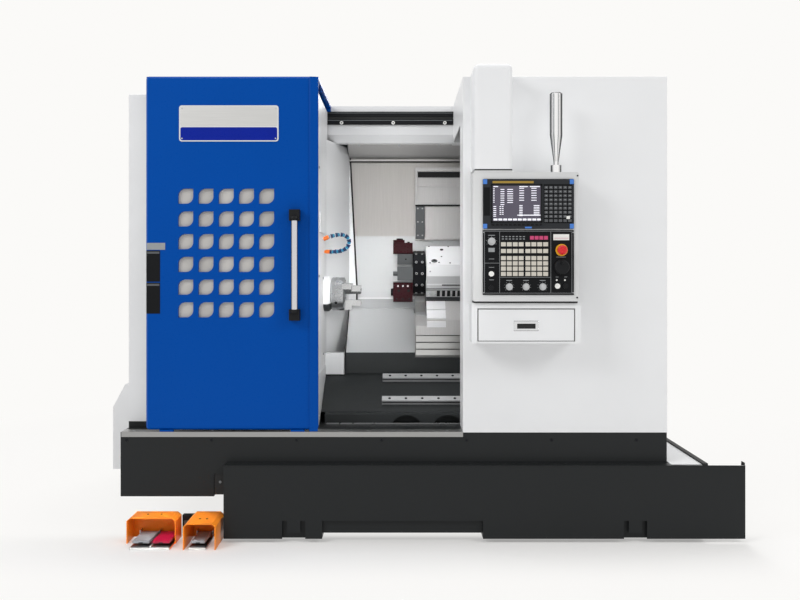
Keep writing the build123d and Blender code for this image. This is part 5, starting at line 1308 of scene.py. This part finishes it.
class TURNMILL_OT_cover_fittings(bpy.types.Operator):
    """Fit access plates, locks, louvres, seams and screws to the outer covers"""
    bl_idname = "turnmill.cover_fittings"
    bl_label = "Cover fittings"

    def execute(self, context):
        sizes = context.scene.turnmill_sizes
        screw, slots = sizes.screw_radius / mm, sizes.louvre_count
        right_wall, left_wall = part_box("right_side_panel")[1].x / mm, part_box("left_side_panel")[0].x / mm
        rear_wall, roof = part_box("rear_cover")[1].y / mm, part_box("roof_panel")[1].z / mm
        box_rear, box_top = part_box("service_box")[1].y / mm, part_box("service_box")[1].z / mm
        lock_rise, louvre_pitch = 1080, 30
        # Both ends: access sheets with quarter-turn locks, and louvres
        shape = bmesh.new()
        access_sheet(shape, 0, right_wall, 1, (-560, 640), (560, 1880))
        access_sheet(shape, 0, right_wall, 1, (-560, 500), (560, 622))
        settle("right_access_sheets", shape, ("white_powder_coat", "black_rubber"), "machine")
        shape = bmesh.new()
        access_sheet(shape, 0, left_wall, -1, (-130, 640), (620, 1880))
        settle("left_access_sheet", shape, ("white_powder_coat", "black_rubber"), "machine")
        pegs("right_locks", "machine", "black_nylon", (right_wall + 4, -510, 720), (0, 340, 0), 4, 15, 5, "x",
             (0, 0, lock_rise), 2)
        pegs("right_lock_slots", "machine", "turned_steel", (right_wall + 6.8, -510, 720), (0, 340, 0), 4, 6,
             1.6, "x", (0, 0, lock_rise), 2, 4)
        pegs("left_locks", "machine", "black_nylon", (left_wall - 4, -80, 720), (0, 325, 0), 3, 15, 5, "x",
             (0, 0, lock_rise), 2)
        # Black strips behind the louvres paint the shade in their slots
        for side, wall, out, middle in (("right", right_wall, 1, 230), ("left", left_wall, -1, 245)):
            blocks(f"{side}_slots", "machine", "black_rubber", (wall + 2.4 * out, middle, 1500),
                   (0, 0, louvre_pitch), slots, (1.6, 260, 11))
            blocks(f"{side}_louvres", "machine", "white_powder_coat", (wall + 3 * out, middle, 1509),
                   (0, 0, louvre_pitch), slots, (10, 268, 10), turn=(0.0, 0.5 * out, 0.0))
        # Ring of the bar feed, on the spindle's axis
        shape = bmesh.new()
        add_lathe(shape, (left_wall + 0.5, -350, 1052), (-1, 0, 0),
                  [(64, 0), (64, 5), (60, 7), (46, 7), (46, 0)], 0, 48)
        settle("bar_feed_ring", shape, ("turned_steel",), "machine")
        # Back: sheets beside the cabinet, with screws and louvres, and a gland plate low down
        shape = bmesh.new()
        for left, right in ((-1154, -856), (846, 1114)):
            for bottom, top in ((1196, 1864), (556, 1154)):
                access_sheet(shape, 1, rear_wall, 1, (left, bottom), (right, top))
        settle("rear_access_sheets", shape, ("white_powder_coat", "black_rubber"), "machine")
        for name, start, along in (("left", -1132, 254), ("right", 868, 224)):
            pegs(f"rear_screws_{name}", "machine", "turned_steel", (start, rear_wall + 3, 580), (along, 0, 0),
                 2, screw, 3, "y", (0, 0, 421), 4)
        # Black strips behind the louvres paint the shade in their slots
        blocks("rear_slots", "machine", "black_rubber", (980, rear_wall + 2.5, 1480), (0, 0, louvre_pitch),
               slots, (190, 1.6, 11))
        blocks("rear_louvres", "machine", "white_powder_coat", (980, rear_wall + 3, 1489),
               (0, 0, louvre_pitch), slots, (198, 10, 10), turn=(-0.5, 0.0, 0.0))
        shape = bmesh.new()
        add_box(shape, (-1080, rear_wall - 0.4, 480), (-900, rear_wall + 6, 545), 0, 1)
        for x in (-1050, -1005, -960, -925):
            add_lathe(shape, (x, rear_wall + 5.5, 512), (0, 1, 0),
                      [(15, 0), (15, 9), (11, 9), (11, 20), (8, 20)], 1, 6)
        settle("cable_glands", shape, ("grey_powder_coat", "black_nylon"), "machine")
        # Roof: seams, lifting plugs and the flange for a mist extractor
        shape = bmesh.new()
        for x in (-420, 400):
            add_box(shape, (x - 1.5, -95, roof - 0.4), (x + 1.5, rear_wall - 2, roof + 0.6), 0)
        add_lathe(shape, (820, 330, roof - 0.5), (0, 0, 1),
                  [(105, 0), (105, 6), (86, 6), (86, 16), (80, 16), (80, 1)], 1, 56)
        add_lathe(shape, (820, 330, roof - 0.2), (0, 0, 1), [(80, 0), (80, 1)], 0, 56)
        settle("roof_fittings", shape, ("black_rubber", "grey_powder_coat"), "machine")
        pegs("roof_lift_plugs", "machine", "turned_steel", (-1120, 40, roof + 4), (2180, 0, 0), 2, 24, 10,
             "z", (0, 560, 0), 2, 6)
        pegs("roof_screws", "machine", "turned_steel", (-1190, rear_wall - 15, roof + 1), (290, 0, 0), 9,
             screw, 3, "z")
        # Service box: hinges on top, gland and seam at its rear
        shape = bmesh.new()
        for y in (-90, 140, 370):
            add_lathe(shape, (-1226, y - 30, box_top + 2), (0, 1, 0), [(6, 0), (6, 60)], 1, 16)
            add_box(shape, (-1262, y - 26, box_top - 0.4), (-1226, y + 26, box_top + 2), 1, 0.6)
        add_box(shape, (-1478, box_rear - 0.4, 456), (-1220, box_rear + 1, 459), 0)
        add_lathe(shape, (-1340, box_rear - 0.5, 250), (0, 1, 0),
                  [(24, 0), (24, 8), (18, 8), (18, 22), (12, 22)], 2, 24)
        settle("service_box_fittings", shape, ("black_rubber", "turned_steel", "black_nylon"), "machine")
        return {"FINISHED"}


# Floor, lamps and camera

def seen_directly(tree):
    """One for rays from the camera, from mirrors and through glass, and zero for the rest."""
    light = add_node(tree, "ShaderNodeLightPath")
    seen = add_node(tree, "ShaderNodeMath", {0: (light, "Is Camera Ray"), 1: (light, "Is Glossy Ray")},
                    operation="MAXIMUM")
    return add_node(tree, "ShaderNodeMath", {0: (seen, "Value"), 1: (light, "Is Transmission Ray")},
                    operation="MAXIMUM")


def paper_shade(tree, colour, share):
    """Paper that glows in its own colour where it is seen, and keeps the shadows near the machine."""
    seen = seen_directly(tree)
    glow = add_node(tree, "ShaderNodeEmission", {"Color": colour, "Strength": share})
    matt = add_node(tree, "ShaderNodeBsdfDiffuse", {"Color": (*[c * (1 - share) for c in colour[:3]], 1)})
    near = add_node(tree, "ShaderNodeAddShader", {0: (glow, "Emission"), 1: (matt, "BSDF")})
    far = add_node(tree, "ShaderNodeEmission", {"Color": colour, "Strength": 1.0})
    place = add_node(tree, "ShaderNodeTexCoord")
    reach = add_node(tree, "ShaderNodeVectorMath", {0: (place, "Object")}, operation="LENGTH")
    fade = add_node(tree, "ShaderNodeMapRange", {"Value": (reach, "Value"), "From Min": 1.9, "From Max": 3.6},
                    interpolation_type="SMOOTHSTEP")
    axes = add_node(tree, "ShaderNodeSeparateXYZ", {"Vector": (place, "Object")})
    under = add_node(tree, "ShaderNodeMapRange", {"Value": (axes, "Y"), "From Min": -0.86, "From Max": -0.72,
                                                  "To Max": 0.8}, interpolation_type="SMOOTHSTEP")
    front = add_node(tree, "ShaderNodeMapRange", {"Value": (axes, "Y"), "From Min": -0.95, "From Max": -1.3,
                                                  "To Max": 0.85}, interpolation_type="SMOOTHSTEP")
    sides = add_node(tree, "ShaderNodeMath", {0: (front, "Result"), 1: (under, "Result")},
                     operation="MAXIMUM")
    bright = add_node(tree, "ShaderNodeMath", {0: (fade, "Result"), 1: (sides, "Value")}, operation="MAXIMUM")
    shown = add_node(tree, "ShaderNodeMixShader",
                     {0: (bright, "Value"), 1: (near, "Shader"), 2: (far, "Emission")})
    plain = add_node(tree, "ShaderNodeBsdfDiffuse", {"Color": colour})
    return add_node(tree, "ShaderNodeMixShader",
                    {0: (seen, "Value"), 1: (plain, "BSDF"), 2: (shown, "Shader")})


def softbox(name, place, target, size, power, spread=180, mirrored=True):
    """An area lamp that looks at a point, in a beam of a given angle, and shows in mirrors if wanted."""
    data = bpy.data.lights.new(name, "AREA")
    data.shape = "RECTANGLE"
    data.size, data.size_y = size
    data.energy = power
    data.spread = math.radians(spread)
    lamp = bpy.data.objects.new(name, data)
    lamp.location = place
    lamp.visible_camera = False
    lamp.visible_glossy = mirrored
    lamp.rotation_euler = (Vector(target) - Vector(place)).to_track_quat("-Z", "Y").to_euler()
    bpy.context.scene.collection.objects.link(lamp)
    return lamp


def light_only(lamp, pieces):
    """Let a lamp reach only some pieces, so that it leaves no spot on what lies around them."""
    group = bpy.data.collections.new(f"{lamp.name}_targets")
    for piece in pieces:
        group.objects.link(piece)
    lamp.light_linking.receiver_collection = group


door_pieces = ("door_skin", "door_roof", "door_window", "door_handle", "door_edge", "handle_", "bare_",
               "nameplate_")
switch_pieces = ("foot_switch", "tread", "hood_screws", "switch_link")


class TURNMILL_OT_stage(bpy.types.Operator):
    """Lay the pale floor, hang the soft lamps and set the camera"""
    bl_idname = "turnmill.stage"
    bl_label = "Stage"

    def execute(self, context):
        scene = context.scene
        scene.view_settings.view_transform = "Standard"
        paper = tint("#fbfaf8")
        floor = bpy.data.objects.new("floor", bpy.data.meshes.new("floor"))
        reach = 60
        floor.data.from_pydata([(-reach, -reach, 0), (reach, -reach, 0), (reach, reach, 0),
                                (-reach, reach, 0)], [], [(0, 1, 2, 3)])
        sheet = bpy.data.materials.new("pale_paper")
        sheet.use_nodes = True
        sheet.node_tree.nodes.clear()
        shade = paper_shade(sheet.node_tree, paper, 0.2)
        add_node(sheet.node_tree, "ShaderNodeOutputMaterial", {"Surface": (shade, "Shader")})
        floor.data.materials.append(sheet)
        scene.collection.objects.link(floor)
        world = bpy.data.worlds.new("studio")
        world.use_nodes = True
        tree = world.node_tree
        tree.nodes.clear()
        dim = add_node(tree, "ShaderNodeBackground", {"Color": tint("#f6f6f7"), "Strength": 0.62})
        white = add_node(tree, "ShaderNodeBackground", {"Color": paper, "Strength": 1.0})
        mixed = add_node(tree, "ShaderNodeMixShader",
                         {0: (seen_directly(tree), "Value"), 1: (dim, "Background"),
                          2: (white, "Background")})
        add_node(tree, "ShaderNodeOutputWorld", {"Surface": (mixed, "Shader")})
        scene.world = world
        softbox("left_softbox", (-4.6, -4.2, 4.6), (-0.2, -0.6, 1.0), (2.6, 2.2), 146)
        softbox("right_softbox", (4.8, -4.0, 4.4), (0.2, -0.6, 1.0), (2.4, 2.2), 94)
        softbox("roof_softbox", (0.0, 0.2, 4.6), (0, 0, 1.0), (4.0, 3.0), 50)
        softbox("rear_softbox", (1.5, 5.5, 4.4), (0, 0.4, 1.0), (3.0, 2.2), 120)
        softbox("work_lamp", (-0.05, -0.36, 1.79), (-0.05, -0.3, 1.0), (0.45, 0.2), 0.55, 150, False)
        opening = softbox("opening_fill", (-0.03, -3.0, 1.45), (-0.04, 0.0, 1.2), (0.3, 0.5), 1.1, 20, False)
        liner = softbox("liner_fill", (0.35, -1.6, 1.5), (-0.37, -0.3, 1.05), (0.3, 0.5), 0.6, 30, False)
        softbox("ceiling_fill", (0.0, -0.3, 1.45), (0.0, -0.05, 1.9), (0.4, 0.2), 0.3, 120, False)
        switches = softbox("switch_fill", (-1.15, -1.6, 2.2), (-0.97, -0.88, 0.05), (0.3, 0.3), 0.42, 14,
                           False)
        pieces = [piece for piece in scene.objects if piece.type == "MESH" and piece != floor]
        indoors = [piece for piece in pieces if not piece.name.startswith(door_pieces)]
        light_only(opening, indoors)
        light_only(liner, indoors)
        light_only(switches, [piece for piece in pieces if piece.name.startswith(switch_pieces)])
        column = softbox("column_fill", (1.5, -2.5, 2.0), (0.5, -0.75, 1.7), (0.3, 0.3), 0.15, 17, False)
        column.data.use_shadow = False
        light_only(column, [nodes["right_front_panel"]])
        turret = softbox("turret_fill", (0.1, -1.6, 1.9), (0.2, -0.3, 1.2), (0.4, 0.4), 0.12, 20, False)
        light_only(turret, [nodes["turret_housing"]])
        data = bpy.data.cameras.new("camera")
        data.lens = 35
        data.sensor_width = 36
        data.shift_y = -0.0375
        camera = bpy.data.objects.new("camera", data)
        camera.location = (0, -4.185, 1.17)
        camera.rotation_euler = (math.pi / 2, 0, 0)
        scene.collection.objects.link(camera)
        scene.camera = camera
        return {"FINISHED"}


class TURNMILL_PT_sidebar(bpy.types.Panel):
    """Lists the machine's settings and steps."""
    bl_label = "Turn-mill machine"
    bl_idname = "TURNMILL_PT_sidebar"
    bl_space_type = "VIEW_3D"
    bl_region_type = "UI"
    bl_category = "Turn-mill"

    def draw(self, context):
        for group in (context.scene.turnmill_colours, context.scene.turnmill_sizes):
            for key in group.__annotations__:
                self.layout.prop(group, key)
        for step in steps:
            self.layout.operator(step.bl_idname)


steps = (TURNMILL_OT_finishes, TURNMILL_OT_display, TURNMILL_OT_operator_panel, TURNMILL_OT_drawer_fittings,
         TURNMILL_OT_door_fittings, TURNMILL_OT_header_fittings, TURNMILL_OT_walls, TURNMILL_OT_rail_screws,
         TURNMILL_OT_turret_fittings, TURNMILL_OT_slide_covers, TURNMILL_OT_chuck_fittings,
         TURNMILL_OT_coolant_hose, TURNMILL_OT_foot_switches, TURNMILL_OT_base_fittings,
         TURNMILL_OT_cabinet_fittings, TURNMILL_OT_cabinet_inside, TURNMILL_OT_cover_fittings,
         TURNMILL_OT_stage)
groups = (TurnMillColours, TurnMillSizes)


def register():
    """Register the settings, the steps and the panel."""
    for kind in (*groups, *steps, TURNMILL_PT_sidebar):
        bpy.utils.register_class(kind)
    bpy.types.Scene.turnmill_colours = PointerProperty(type=TurnMillColours)
    bpy.types.Scene.turnmill_sizes = PointerProperty(type=TurnMillSizes)


def unregister():
    """Take everything off again."""
    del bpy.types.Scene.turnmill_colours
    del bpy.types.Scene.turnmill_sizes
    for kind in reversed((*groups, *steps, TURNMILL_PT_sidebar)):
        bpy.utils.unregister_class(kind)


def main():
    register()
    for step in steps:
        area, action = step.bl_idname.split(".")
        getattr(getattr(bpy.ops, area), action)()


if __name__ == "__main__":
    main()
